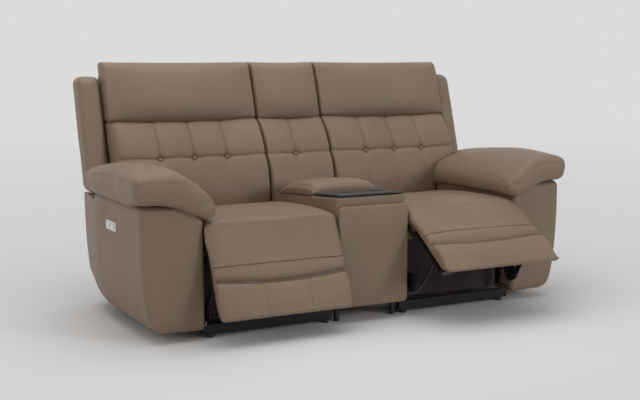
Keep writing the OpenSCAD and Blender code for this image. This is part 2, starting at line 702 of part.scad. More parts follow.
// Lined board below the seat's front: it stands on nothing, and is stapled up to the frame's side beams
panel_half = crank_plane_x - 5;
panel_t = 3;
panel_y = crank_axis.x - tube_r - 2 - panel_t;
panel_low_z = rail_z + 6;
panel_top_z = frame_z - seat_gap;
panel_slot = [64, 126];
module dust_panel(side) {
    color([0.16, 0.12, 0.12]) translate([side * seat_x, panel_y, 0]) difference() {
        translate([-panel_half, 0, panel_low_z]) cube([2 * panel_half, panel_t, panel_top_z - panel_low_z]);
        translate([-panel_slot.x / 2, -1, panel_slot.y]) cube([panel_slot.x, panel_t + 2, panel_top_z]);
        translate([lead_hole.x, -1, lead_hole.y]) rotate([-90, 0, 0]) cylinder(r = 2 * lead_r, h = panel_t + 2);
    }
}
shoe_ys = [-200, 200];
shoe_l = 34;
module glide_shoes(side) {
    inner = track_w - 2 * track_t - 1;
    color([0.85, 0.85, 0.82]) seat_half(side) both_sides() for (y = shoe_ys)
        difference() {
            translate([track_x + track_t + 0.5, y, rail_z + 2.3]) cube([inner, shoe_l, track_h - 3]);
            translate([plate_x - 0.02, y - 1, plate_low_z]) cube([link_t + 0.04, shoe_l + 2, track_h]);
        }
}

// Actuator: gearbox and motor at the rear, rail and screw running to the front. Both seats have the same one
rail_mid_z = 151;
screw_r = 4;
act_front_y = -281;
carriage_half = 12;
gear_front_y = 150;
module actuator(side) {
    color(plastic) translate([side * seat_x, 0, 0]) {
        translate([-34, gear_front_y, rail_mid_z - 28]) cube([68, 62, 78]);
        translate([34, gear_front_y + 31, rail_mid_z + 14]) rotate([0, 90, 0]) cylinder(r = 24, h = 92);
        along_x(-9, 18) difference() {
            union() {
                hole(cross_tube_rear, cross_r + 7);
                translate([gear_front_y + 60, rail_mid_z - 6]) square([cross_tube_rear.x - gear_front_y - 60, 30]);
            }
            hole(cross_tube_rear, cross_r + run_fit);
        }
        difference() {
            translate([-12, act_front_y, rail_mid_z - 11]) cube([24, gear_front_y - act_front_y, 20]);
            translate([-10, act_front_y + 4, rail_mid_z - 9]) cube([20, gear_front_y - act_front_y - 4, 30]);
        }
        translate([0, act_front_y + 2, rail_mid_z]) rotate([-90, 0, 0])
            cylinder(r = screw_r, h = gear_front_y - act_front_y);
    }
}
yoke_slope = 0.93;
mid_swing = full_swing / 2;
function carriage_y(angle) = crank_axis.x - lever * yoke_slope * (angle - mid_swing) * PI / 180;
module carriage(side) {
    slot_z = crank_axis.y - lever * (1 + cos(mid_swing)) / 2;
    slot_half = lever * (1 - cos(mid_swing)) / 2 + lever_pin_r + 2;
    color(zinc) seat_half(side) translate([0, carriage_y(open_of(side)), 0]) {
        difference() {
            union() {
                translate([-22, -carriage_half, rail_mid_z + 10]) cube([44, 2 * carriage_half, 26]);
                translate([-9, -carriage_half, rail_mid_z - 6]) cube([18, 2 * carriage_half, 17]);
            }
            translate([0, -carriage_half - 1, rail_mid_z]) rotate([-90, 0, 0])
                cylinder(r = screw_r + 0.3, h = 2 * carriage_half + 2);
        }
        along_x(-4, 8) difference() {
            translate([-carriage_half, rail_mid_z + 35])
                square([2 * carriage_half, crank_axis.y - tube_r - 4 - rail_mid_z - 35]);
            translate([-lever_pin_r - 1.6, slot_z - slot_half]) square([2 * lever_pin_r + 3.2, 2 * slot_half]);
        }
    }
}
module drive_cranks(side) {
    knee = crank_axis + lug_closed;
    lever_end = crank_axis + lever * [sin(mid_swing), -cos(mid_swing)];
    color(steel) seat_half(side) cranked(open_of(side)) {
        pin_x(crank_axis, tube_r, -crank_plane_x - 1, crank_plane_x + 1);
        both_sides() {
            along_x(crank_plane_x, link_t) bar(crank_axis, knee, link_r);
            pin_x(crank_axis, axle_r, crank_plane_x, plate_x + link_t + 1);
            pin_x(knee, pin_r, crank_plane_x, rod_plane_x + link_t + 0.3);
            along_x(4.6, 4) bar(crank_axis, lever_end, 10);
        }
        pin_x(lever_end, lever_pin_r, -8.6, 8.6);
    }
}
module push_rods(side) {
    // The rods keep their slant while the cranks and the footrest turn together
    knee = crank_axis + turned(lug_closed, open_of(side));
    lug = swing_axis + turned(lug_closed, open_of(side));
    color(steel) seat_half(side) both_sides() along_x(rod_plane_x, link_t) difference() {
        bar(knee, lug, link_r);
        hole(knee, pin_r + run_fit);
        hole(lug, pin_r + open_fit);
    }
}

// Footrest, drawn closed and then swung open
board_half = cushion_half - 18;
module footrest_pad(side) {
    face = swing_y + foot_face;
    back = swing_y + foot_back;
    half_w = half_gap - 5;
    top = swing_z - foot_end_gap;
    low = swing_z - pad_reach;
    color(leather) seat_half(side) swung(open_of(side)) intersection() {
        along_x(-half_w, 2 * half_w)
            polygon(rounded([[face, low], [back, low], [back, top], [face, top]], [20, 14, 4, 12]));
        along_y(face - 1, foot_pad_t + 2)
            polygon(rounded([[-half_w, low], [half_w, low], [half_w, top], [-half_w, top]], [16, 16, 6, 6]));
    }
}
module footrest_board(side) {
    color(timber) seat_half(side) swung(open_of(side))
        translate([-board_half, swing_y + foot_back, swing_z - pad_reach + 14])
            cube([2 * board_half, foot_board_t, pad_reach - 60]);
}
module footrest_arms(side) {
    seat_y = swing_y + foot_back + foot_board_t;
    lug = swing_axis + lug_closed;
    elbow = [seat_y + 6, swing_z - 10];
    wrist = [seat_y + 10, swing_z - 70];
    color(steel) seat_half(side) swung(open_of(side)) both_sides() {
        along_x(arm_plane_x, link_t) difference() {
            union() {
                bar(swing_axis, elbow, 10);
                bar(elbow, wrist, 10);
                bar(wrist, lug, 10);
                hole(lug, link_r);
                polygon([[seat_y, swing_z - 60], lug, [seat_y + 6, swing_z - 310], [seat_y, swing_z - 310]]);
            }
            hole(swing_axis, hinge_r + run_fit);
        }
        translate([board_half - 30, seat_y, swing_z - 310]) cube([arm_plane_x - board_half + 31, 3, 230]);
        pin_x(lug, pin_r, rod_plane_x - 0.3, arm_plane_x + 1);
    }
}

// Low-voltage lead from the motor, through the dust panel and down to a clip on the panel's front
lead_r = 2.6;
lead_hole = [-72, 212];
lead_points = [[-36, 182, 165], [-56, 168, 170], [-66, 120, 176], [-68, 40, 182], [-68, -60, 190],
    [-70, -150, 204], [-71, -210, 212], [lead_hole.x, -238, lead_hole.y], [-76, -248, 203], [-88, -253, 182],
    [-105, -255, 152], [-124, -256, 122], [-146, -256, 94], [-172, -254, 74], [-198, -249, 68],
    [-212, -243, 68], [-216, -238.3, 68]];
function ring(p, along, r) =
    let (u = unit(cross(along, [0, 0.2, 1])), w = unit(cross(along, u)))
    [for (i = [0:7]) p + r * (u * cos(45 * i) + w * sin(45 * i))];
module lead(points, r) {
    n = len(points);
    rings = [for (i = [0:n - 1]) each ring(points[i], unit(points[min(i + 1, n - 1)] - points[max(i - 1, 0)]), r)];
    sides = [for (i = [0:n - 2], k = [0:7], f = [0, 1])
        let (a = i * 8 + k, b = i * 8 + (k + 1) % 8)
        f == 0 ? [a, b, b + 8] : [a, b + 8, a + 8]];
    last = (n - 1) * 8;
    caps = [for (k = [1:6], f = [0, 1]) f == 0 ? [0, k + 1, k] : [last, last + k, last + k + 1]];
    polyhedron(rings, concat(sides, caps));
}
module motor_lead(side) {
    color([0.6, 0.6, 0.6]) translate([side * seat_x, 0, 0]) lead(lead_points, lead_r);
}

arm_cover(-1);  // left_arm_cover
arm_cover(1);  // right_arm_cover
arm_frames();
arm_pad(-1);  // left_arm_pad
arm_pad(1);  // right_arm_pad
side_wings();
switch_plates();
push_button(-1, -1);  // left_open_button
push_button(-1, 1);  // left_close_button
push_button(1, -1);  // right_open_button
push_button(1, 1);  // right_close_button
base_rails();
slide_tracks();
feet();
rear_dust_panels();
power_supply();
console_box();
console_front_pad();
console_back();
cup_tray();
lid_hinge_pin();
console_lid();
seat_cushion(-1);  // left_seat_cushion
seat_frame(-1);  // left_seat_frame
seat_springs(-1);  // left_seat_springs
side_plates(-1);  // left_side_plates
glide_shoes(-1);  // left_glide_shoes
dust_panel(-1);  // left_dust_panel
actuator(-1);  // left_actuator
motor_lead(-1);  // left_motor_lead
headrest(-1);  // left_headrest
lumbar_cushion(-1);  // left_lumbar_cushion
back_shell(-1);  // left_back_shell
back_brackets(-1);  // left_back_brackets
tuft_buttons(-1);  // left_tuft_buttons
footrest_pad(-1);  // left_footrest_pad
footrest_board(-1);  // left_footrest_board
footrest_arms(-1);  // left_footrest_arms
drive_cranks(-1);  // left_drive_cranks
push_rods(-1);  // left_push_rods
carriage(-1);  // left_carriage
seat_cushion(1);  // right_seat_cushion
seat_frame(1);  // right_seat_frame
seat_springs(1);  // right_seat_springs
side_plates(1);  // right_side_plates
glide_shoes(1);  // right_glide_shoes
dust_panel(1);  // right_dust_panel
actuator(1);  // right_actuator
motor_lead(1);  // right_motor_lead
headrest(1);  // right_headrest
lumbar_cushion(1);  // right_lumbar_cushion
back_shell(1);  // right_back_shell
back_brackets(1);  // right_back_brackets
tuft_buttons(1);  // right_tuft_buttons
footrest_pad(1);  // right_footrest_pad
footrest_board(1);  // right_footrest_board
footrest_arms(1);  // right_footrest_arms
drive_cranks(1);  // right_drive_cranks
push_rods(1);  // right_push_rods
carriage(1);  // right_carriage
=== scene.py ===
"""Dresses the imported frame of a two-seat power recliner with a centre console.

Every upholstered piece is a closed skin: the outside of a box lattice, its corners rounded, then warped
by the piece's own formula and pushed along its normals by the stuffing, the seams and the tufts.
Metres throughout: X to the viewer's right, Y to the back, Z up. Pieces are drawn for the right half and
mirrored for the left half.
"""
import math

import bpy
import numpy as np
from mathutils import Euler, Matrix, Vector


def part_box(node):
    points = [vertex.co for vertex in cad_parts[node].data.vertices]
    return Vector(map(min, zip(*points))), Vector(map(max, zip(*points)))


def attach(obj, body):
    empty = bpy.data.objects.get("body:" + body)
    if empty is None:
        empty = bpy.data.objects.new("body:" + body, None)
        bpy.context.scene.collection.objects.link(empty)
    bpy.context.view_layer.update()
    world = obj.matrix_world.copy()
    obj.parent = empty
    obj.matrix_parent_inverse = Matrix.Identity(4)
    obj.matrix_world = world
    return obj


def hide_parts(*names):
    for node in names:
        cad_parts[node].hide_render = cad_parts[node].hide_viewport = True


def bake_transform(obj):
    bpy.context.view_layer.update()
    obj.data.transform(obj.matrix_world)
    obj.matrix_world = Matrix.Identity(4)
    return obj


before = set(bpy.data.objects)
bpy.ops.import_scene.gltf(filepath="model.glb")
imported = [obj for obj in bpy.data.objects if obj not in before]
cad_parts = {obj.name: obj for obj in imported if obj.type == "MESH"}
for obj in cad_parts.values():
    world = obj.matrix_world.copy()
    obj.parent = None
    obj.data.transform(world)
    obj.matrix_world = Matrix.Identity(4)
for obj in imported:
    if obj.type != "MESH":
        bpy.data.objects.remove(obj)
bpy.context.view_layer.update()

# Sides of the sofa and how far each footrest is swung open at rest
SIDES = {"left": -1, "right": 1}
REST_OPEN = {"left": math.radians(23), "right": math.radians(55)}


def span(node):
    """Lowest and highest corner of a CAD node at rest."""
    low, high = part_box(node)
    return np.array(low), np.array(high)


# Places read from the frame
seat_low, seat_high = span("right_seat_cushion")
back_low, back_high = span("right_lumbar_cushion")
head_low, head_high = span("right_headrest")
SEAT_X = (seat_low[0] + seat_high[0]) / 2
SEAT_HALF = (seat_high[0] - seat_low[0]) / 2
CONSOLE_X = span("console_box")[1][0]
# Swing axis of the footrests
SWING_Y, SWING_Z = -0.310, 0.415
# Backs: the lumbar face rises from BACK_Y and leans from RISE_Z up to the seam under the headrest
BACK_Y, RISE_Z = 0.261, 0.430
SEAM_Y, SEAM_Z, BACK_TOP = 0.403, 0.777, 1.020
# Rear face of the backs: its foot and its slope
REAR_FOOT_Y, REAR_FOOT_Z, LEAN = 0.4297, 0.340, math.tan(math.radians(16.2))
SHELL_T = 0.060
# Buttons: their height and radius, and where they sit across a back and across the console
TUFT_Z, TUFT_R = 0.620, 0.009
TUFT_MID, TUFT_PITCH = 0.496, 0.151
TUFT_XS = [TUFT_MID - TUFT_PITCH, TUFT_MID, TUFT_MID + TUFT_PITCH]
CONSOLE_TUFT = -0.016
ARM_TOP = 0.480


def curve(x, xs, ys):
    """Catmull-Rom curve through the stations (xs, ys), read at x and level outside them."""
    xs, ys = np.asarray(xs, float), np.asarray(ys, float)
    slope = np.gradient(ys, xs)
    i = np.clip(np.searchsorted(xs, x) - 1, 0, len(xs) - 2)
    h = xs[i + 1] - xs[i]
    t = np.clip((x - xs[i]) / h, 0, 1)
    return ((1 + 2 * t) * (1 - t) ** 2 * ys[i] + t * (1 - t) ** 2 * h * slope[i]
            + t * t * (3 - 2 * t) * ys[i + 1] + t * t * (t - 1) * h * slope[i + 1])


def ease(t):
    """Smooth step: 3t^2 - 2t^3 on 0..1."""
    t = np.clip(t, 0, 1)
    return t * t * (3 - 2 * t)


def rear_y(z):
    """Rear face of a back: a plane that leans by LEAN."""
    return REAR_FOOT_Y + (z - REAR_FOOT_Z) * LEAN


def shell_y(z):
    """Front face of the back shell, one shell thickness before the rear face."""
    return rear_y(z) - SHELL_T


def lumbar_y(z):
    """Face of the lumbar cushion: from BACK_Y it leans back with the power 2.2 of the height."""
    t = np.maximum(0, (z - RISE_Z) / (SEAM_Z - RISE_Z))
    return BACK_Y + (SEAM_Y - BACK_Y) * t ** 2.2


def ticks(low, high, cell, round_r=0.0, marks=(), near=(0.0015, 0.0045, 0.009)):
    """Places from low to high: even cells, angle-even steps in rounded ends, close steps by each mark."""
    spots = np.linspace(low, high, max(2, int(round((high - low) / cell))) + 1)
    ends = [low, high]
    if round_r:
        fan = round_r * (1 - np.tan(np.linspace(0, math.pi / 4, 5)))
        ends = list(low + fan) + list(high - fan)
        spots = spots[(spots > low + round_r + cell / 3) & (spots < high - round_r - cell / 3)]
    else:
        spots = spots[1:-1]
    for m in marks:
        spots = spots[np.abs(spots - m) > max(near, default=0) + cell / 3]
    sewn = [m + k * d for m in marks for d in (0,) + tuple(near) for k in (-1, 1)]
    return np.unique(np.round(np.concatenate([spots, ends, sewn]), 6))


def lattice(us, vs, ws, hollow=None):
    """Closed skin of a box lattice as points and outward quads; hollow(u, v, w) marks cells left out."""
    us, vs, ws = (np.asarray(s, float) for s in (us, vs, ws))
    solid = np.zeros((len(us) + 1, len(vs) + 1, len(ws) + 1), bool)
    solid[1:-1, 1:-1, 1:-1] = True
    if hollow is not None:
        middles = np.meshgrid(*[(s[1:] + s[:-1]) / 2 for s in (us, vs, ws)], indexing="ij")
        solid[1:-1, 1:-1, 1:-1] &= ~hollow(*middles)
    index = np.arange(len(us) * len(vs) * len(ws)).reshape(len(us), len(vs), len(ws))
    quads = []
    for axis in range(3):
        a, b = (axis + 1) % 3, (axis + 2) % 3
        cells = np.moveaxis(solid, (axis, a, b), (0, 1, 2))
        grid = np.moveaxis(index, (axis, a, b), (0, 1, 2))
        for outward in (True, False):
            wall = cells[:-1] & ~cells[1:] if outward else ~cells[:-1] & cells[1:]
            i, j, k = np.nonzero(wall[:, 1:-1, 1:-1])
            corners = [grid[i, j, k], grid[i, j + 1, k], grid[i, j + 1, k + 1], grid[i, j, k + 1]]
            quads.append(np.stack(corners if outward else corners[::-1], 1))
    quads = np.concatenate(quads)
    used, quads = np.unique(quads, return_inverse=True)
    points = np.stack(np.meshgrid(us, vs, ws, indexing="ij"), -1).reshape(-1, 3)[used]
    return points, quads.reshape(-1, 4)


def round_corners(p, low, high, r):
    """Moves each point of the box's skin onto the ball of radius r round the nearest point of its core."""
    r = np.maximum(np.broadcast_to(np.asarray(r, float), p.shape), 1e-6)
    core = np.clip(p, np.asarray(low) + r, np.asarray(high) - r)
    reach = (p - core) / r
    size = np.linalg.norm(reach, axis=1, keepdims=True)
    return core + np.where(size > 1, reach / np.maximum(size, 1e-9), reach) * r


def normals_of(points, quads):
    """Vertex normals: the sum of the cross products of the diagonals of the faces at each point."""
    face = np.cross(points[quads[:, 2]] - points[quads[:, 0]], points[quads[:, 3]] - points[quads[:, 1]])
    out = np.zeros_like(points)
    for k in range(4):
        np.add.at(out, quads[:, k], face)
    return out / np.maximum(np.linalg.norm(out, axis=1, keepdims=True), 1e-12)


def groove(distance, depth, width):
    """Sewn line: depth falling off exponentially with the distance from it."""
    return depth * np.exp(-np.abs(distance) / width)


def dent(distance, depth, width):
    """Soft hollow: depth falling off as a bell with the distance from its middle."""
    return depth * np.exp(-(distance / width) ** 2)


def puff(s, lines, power=0.6):
    """Height 0..1 of the stuffing between sewn lines: (1 - c^2)^power, c from -1 to 1 between two lines."""
    lines = np.asarray(lines, float)
    i = np.clip(np.searchsorted(lines, s) - 1, 0, len(lines) - 2)
    c = np.clip((2 * s - lines[i] - lines[i + 1]) / (lines[i + 1] - lines[i]), -1, 1)
    return (1 - c * c) ** power


def wrinkle(p, seed, size, height):
    """Gentle unevenness of hide over stuffing: a sum of five slanted sine waves of the given size."""
    rng = np.random.default_rng(seed)
    out = np.zeros(len(p))
    for _ in range(5):
        way = rng.normal(size=3)
        turns = p @ (way / np.linalg.norm(way)) / size / rng.uniform(0.7, 1.5)
        out += np.sin(2 * math.pi * turns + rng.uniform(0, 6))
    return out * height / 5


def stuffed(points, quads, pinned, pressure, cap, steps=20):
    """Cloth simulation of a cover blown up by its stuffing, each move d shortened to cap tanh(|d| / cap).

    The points with pinned near 1 are sewn or lie on a board and stay; pressure is the stuffing's push."""
    mesh = bpy.data.meshes.new("cover_blank")
    mesh.from_pydata(points.tolist(), [], quads.tolist())
    blank = bpy.data.objects.new("cover_blank", mesh)
    bpy.context.scene.collection.objects.link(blank)
    held = blank.vertex_groups.new(name="held")
    weights = np.round(np.clip(pinned, 0, 1), 2)
    for weight in np.unique(weights[weights > 0.01]):
        held.add(np.nonzero(weights == weight)[0].tolist(), float(weight), "REPLACE")
    cloth = blank.modifiers.new("stuffing", "CLOTH")
    cloth.settings.quality = 6
    cloth.settings.mass = 0.4
    cloth.settings.tension_stiffness = cloth.settings.compression_stiffness = 25
    cloth.settings.shear_stiffness = 12
    cloth.settings.bending_stiffness = 2.0
    cloth.settings.use_pressure = True
    cloth.settings.uniform_pressure_force = pressure
    cloth.settings.vertex_group_mass = "held"
    cloth.settings.effector_weights.gravity = 0
    cloth.collision_settings.use_collision = False
    cloth.collision_settings.use_self_collision = False
    cloth.point_cache.frame_start, cloth.point_cache.frame_end = 1, steps
    for step in range(1, steps + 1):
        bpy.context.scene.frame_set(step)
    shown = blank.evaluated_get(bpy.context.evaluated_depsgraph_get()).to_mesh()
    blown = np.zeros(len(points) * 3)
    shown.vertices.foreach_get("co", blown)
    move = blown.reshape(-1, 3) - points
    move *= 1 - np.clip(pinned, 0, 1)[:, None]
    size = np.linalg.norm(move, axis=1, keepdims=True)
    bpy.data.objects.remove(blank)
    bpy.context.scene.frame_set(1)
    return points + move * cap * np.tanh(size / cap) / np.maximum(size, 1e-9)


def mesh_piece(name, points, quads, finish, body, crease=None, levels=1, smooth=True):
    """Makes an object at the origin from points and quads, rides it on a body and finishes it."""
    mesh = bpy.data.meshes.new(name)
    mesh.from_pydata(points.tolist(), [], quads.tolist())
    mesh.polygons.foreach_set("use_smooth", np.full(len(mesh.polygons), smooth))
    # The point attribute made here carries painted shade: how far the leather's colour is darkened at each
    # point.
    if crease is not None:
        mesh.attributes.new("crease", "FLOAT", "POINT").data.foreach_set("value", crease.astype(np.float32))
    piece = bpy.data.objects.new(name, mesh)
    bpy.context.scene.collection.objects.link(piece)
    mesh.materials.append(FINISHES[finish])
    if levels:
        round_off = piece.modifiers.new("round_off", "SUBSURF")
        round_off.levels = round_off.render_levels = levels
    if body:
        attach(piece, body)
    return piece


def half_piece(side, name, points, quads, finish, body, **more):
    """The same piece on either half: the left one is the right one mirrored in X, its faces turned over.

    A piece of the middle has no side and stays as it is."""
    if side is None:
        return mesh_piece(name, points, quads, finish, body, **more)
    if SIDES[side] < 0:
        points, quads = points * [-1, 1, 1], quads[:, ::-1]
    if body and body != "root":
        body = side + "_" + body
    return mesh_piece(side + "_" + name, points, quads, finish, body, **more)


# Finishes

def shader(name):
    """New node material with its main shader and the object coordinates."""
    material = bpy.data.materials.new(name)
    material.use_nodes = True
    nodes, links = material.node_tree.nodes, material.node_tree.links
    at = nodes.new("ShaderNodeTexCoord").outputs["Object"]
    return material, nodes, links, nodes["Principled BSDF"], at


def noise(nodes, links, at, scale, detail=3.0, stretch=None):
    """Noise texture read at object coordinates, stretched by a mapping if asked."""
    if stretch:
        mapping = nodes.new("ShaderNodeMapping")
        mapping.inputs["Scale"].default_value = stretch
        links.new(at, mapping.inputs["Vector"])
        at = mapping.outputs["Vector"]
    texture = nodes.new("ShaderNodeTexNoise")
    texture.inputs["Scale"].default_value = scale
    texture.inputs["Detail"].default_value = detail
    links.new(at, texture.inputs["Vector"])
    return texture.outputs["Fac"]


def ramp(nodes, links, value, low, high, dark, light):
    """Colour ramp from dark at low to light at high; a number in place of a colour makes a grey."""
    node = nodes.new("ShaderNodeValToRGB")
    for element, place, tone in zip(node.color_ramp.elements, (low, high), (dark, light)):
        element.position = place
        element.color = (tone, tone, tone, 1) if isinstance(tone, float) else (*tone, 1)
    links.new(value, node.inputs["Fac"])
    return node.outputs["Color"]


def mixed(nodes, links, a, b, factor, how="MULTIPLY"):
    """Colour a combined with colour b by the factor."""
    node = nodes.new("ShaderNodeMix")
    node.data_type = "RGBA"
    node.blend_type = how
    for socket, value in ((node.inputs["Factor"], factor), (node.inputs["A"], a), (node.inputs["B"], b)):
        if hasattr(value, "is_linked"):
            links.new(value, socket)
        else:
            socket.default_value = value
    return node.outputs["Result"]


def bumps(nodes, links, bsdf, layers):
    """Chain of bump nodes, one for each (height, strength, distance), into the shader's normal."""
    last = None
    for height, strength, distance in layers:
        bump = nodes.new("ShaderNodeBump")
        bump.inputs["Strength"].default_value = strength
        bump.inputs["Distance"].default_value = distance
        links.new(height, bump.inputs["Height"])
        if last:
            links.new(last, bump.inputs["Normal"])
        last = bump.outputs["Normal"]
    links.new(last, bsdf.inputs["Normal"])


def linear(red, green, blue):
    """Linear colour from the sRGB values 0..255 that a paint chart gives."""
    parts = [c / 255 for c in (red, green, blue)]
    return tuple(((c + 0.055) / 1.055) ** 2.4 if c > 0.04 else c / 12.92 for c in parts)


def shaded(tone, share):
    """Linear tone times the share, at most white."""
    return tuple(min(1.0, c * share) for c in tone)


def leather_finish(name, tone, grain=1.0):
    """Semi-matt corrected hide: pebbled grain over soft unevenness, cloudy colour, and painted shade that
    darkens the colour in the seams, creases and hollows.
    """
    material, nodes, links, bsdf, at = shader(name)
    base = linear(*tone)
    mottle = noise(nodes, links, at, 3.2)
    cloud = ramp(nodes, links, mottle, 0.3, 0.7, shaded(base, 0.93), shaded(base, 1.06))
    fleck = ramp(nodes, links, noise(nodes, links, at, 160.0, 2.0), 0.35, 0.65, 0.94, 1.0)
    colour = mixed(nodes, links, cloud, fleck, 1.0)
    # Painted shade: a point attribute darkens the base colour down to 0.55 times in seams, creases and
    # hollows that lie in shade.
    attribute = nodes.new("ShaderNodeAttribute")
    attribute.attribute_name = "crease"
    shade = ramp(nodes, links, attribute.outputs["Fac"], 0.05, 0.9, 1.0, 0.55)
    links.new(mixed(nodes, links, colour, shade, 1.0), bsdf.inputs["Base Color"])
    pebble = nodes.new("ShaderNodeTexVoronoi")
    pebble.feature = "DISTANCE_TO_EDGE"
    pebble.inputs["Scale"].default_value = 430.0
    links.new(at, pebble.inputs["Vector"])
    cells = ramp(nodes, links, pebble.outputs["Distance"], 0.0, 0.22, 0.0, 1.0)
    rough = nodes.new("ShaderNodeMapRange")
    rough.inputs["To Min"].default_value = 0.43
    rough.inputs["To Max"].default_value = 0.56
    links.new(noise(nodes, links, at, 9.0), rough.inputs["Value"])
    links.new(rough.outputs["Result"], bsdf.inputs["Roughness"])
    bsdf.inputs["Specular IOR Level"].default_value = 0.35
    bsdf.inputs["Sheen Weight"].default_value = 0.04
    uneven = noise(nodes, links, at, 38.0, 2.0)
    bumps(nodes, links, bsdf, [(uneven, 0.16, 0.0016 * grain), (cells, 0.30, 0.00035 * grain)])
    return material


def metal_finish(name, tone, roughness, metallic=1.0, brushed=None, worn=0.0):
    """Painted or plated steel: streaked or orange-peel roughness and a little wear on its tone."""
    material, nodes, links, bsdf, at = shader(name)
    base = linear(*tone)
    streak = noise(nodes, links, at, 60.0, 3.0, brushed)
    colour = ramp(nodes, links, streak, 0.3, 0.75, shaded(base, 1 - worn), shaded(base, 1 + worn))
    links.new(colour, bsdf.inputs["Base Color"])
    rough = nodes.new("ShaderNodeMapRange")
    rough.inputs["To Min"].default_value = roughness - 0.06
    rough.inputs["To Max"].default_value = roughness + 0.08
    links.new(streak, rough.inputs["Value"])
    links.new(rough.outputs["Result"], bsdf.inputs["Roughness"])
    bsdf.inputs["Metallic"].default_value = metallic
    bumps(nodes, links, bsdf, [(noise(nodes, links, at, 350.0, 2.0, brushed), 0.12, 0.0004)])
    return material


def plastic_finish(name, tone, roughness, speck=700.0):
    """Moulded plastic: fine spark-eroded texture on a plain tone."""
    material, nodes, links, bsdf, at = shader(name)
    base = linear(*tone)
    mottle = noise(nodes, links, at, 5.0)
    colour = ramp(nodes, links, mottle, 0.3, 0.7, shaded(base, 0.94), shaded(base, 1.05))
    links.new(colour, bsdf.inputs["Base Color"])
    bsdf.inputs["Roughness"].default_value = roughness
    bumps(nodes, links, bsdf, [(noise(nodes, links, at, speck, 1.0), 0.15, 0.0003)])
    return material


def timber_finish(name, tone):
    """Plywood and beech: long grain lines along X with darker late wood."""
    material, nodes, links, bsdf, at = shader(name)
    base = linear(*tone)
    figure = noise(nodes, links, at, 26.0, 6.0, (0.12, 1.0, 1.0))
    links.new(ramp(nodes, links, figure, 0.35, 0.65, shaded(base, 0.72), base), bsdf.inputs["Base Color"])
    bsdf.inputs["Roughness"].default_value = 0.62
    bumps(nodes, links, bsdf, [(figure, 0.2, 0.0006)])
    return material


def cloth_finish(name, tone, thread=900.0):
    """Non-woven lining: crossed fine threads and a slight mottle."""
    material, nodes, links, bsdf, at = shader(name)
    base = linear(*tone)
    mottle = noise(nodes, links, at, 120.0)
    colour = ramp(nodes, links, mottle, 0.3, 0.7, shaded(base, 0.8), shaded(base, 1.15))
    links.new(colour, bsdf.inputs["Base Color"])
    weave = nodes.new("ShaderNodeTexWave")
    weave.inputs["Scale"].default_value = thread / 6
    weave.inputs["Distortion"].default_value = 1.5
    weave.bands_direction = "DIAGONAL"
    links.new(at, weave.inputs["Vector"])
    bsdf.inputs["Roughness"].default_value = 0.9
    bumps(nodes, links, bsdf, [(weave.outputs["Fac"], 0.25, 0.0004)])
    return material


LEATHER_TONE = (131, 110, 91)
FINISHES = {
    "leather": leather_finish("leather", LEATHER_TONE),
    "button_leather": leather_finish("button_leather", tuple(c * 0.97 for c in LEATHER_TONE), 0.6),
    "black_steel": metal_finish("black_steel", (42, 43, 45), 0.36, 0.55, worn=0.15),
    "rail_steel": metal_finish("rail_steel", (40, 41, 43), 0.38, 0.6, (0.15, 1, 1), 0.12),
    "zinc_steel": metal_finish("zinc_steel", (176, 178, 180), 0.34, 1.0, (0.1, 1, 1), 0.08),
    "switch_metal": metal_finish("switch_metal", (226, 224, 218), 0.38, 0.55, (1, 0.08, 1), 0.05),
    "black_plastic": plastic_finish("black_plastic", (26, 26, 28), 0.45),
    "tray": plastic_finish("tray", (44, 45, 47), 0.42, 500.0),
    "nylon": plastic_finish("nylon", (216, 214, 206), 0.5),
    "lead": plastic_finish("lead", (96, 96, 98), 0.5),
    "plywood": timber_finish("plywood", (190, 158, 115)),
    "black_board": timber_finish("black_board", (40, 35, 34)),
    "dust_cloth": cloth_finish("dust_cloth", (62, 48, 49)),
}
CAD_FINISHES = {
    "button_leather": ["tuft_buttons"],
    "black_steel": ["side_plates", "back_brackets", "footrest_arms", "drive_cranks", "push_rods"],
    "rail_steel": ["base_rails"],
    "zinc_steel": ["slide_tracks", "lid_hinge_pin", "carriage", "seat_springs"],
    "switch_metal": ["switch_plates", "button"],
    "black_plastic": ["feet", "power_supply", "actuator"],
    "nylon": ["glide_shoes"],
    "lead": ["motor_lead"],
    "plywood": ["arm_frames"],
    "black_board": ["seat_frame", "footrest_board"],
    "dust_cloth": ["dust_panel"],
}


def finish_cad_nodes():
    """Gives every CAD node that stays in view its finish."""
    for node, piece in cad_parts.items():
        for finish, words in CAD_FINISHES.items():
            if any(word in node for word in words):
                for place in piece.material_slots:
                    place.material = FINISHES[finish]
                break


# Seats and footrests

def seat_top(x, y):
    """Top of a seat cushion: a profile along Y less a crown that drops towards the sides as x^4."""
    across = np.abs(x - SEAT_X) / SEAT_HALF
    along = curve(y, [-0.342, -0.31, -0.26, -0.19, -0.05, 0.09, 0.20, 0.262],
                  [0.442, 0.4485, 0.4525, 0.455, 0.453, 0.445, 0.432, 0.417])
    return along - 0.003 * across ** 2 - 0.008 * across ** 6


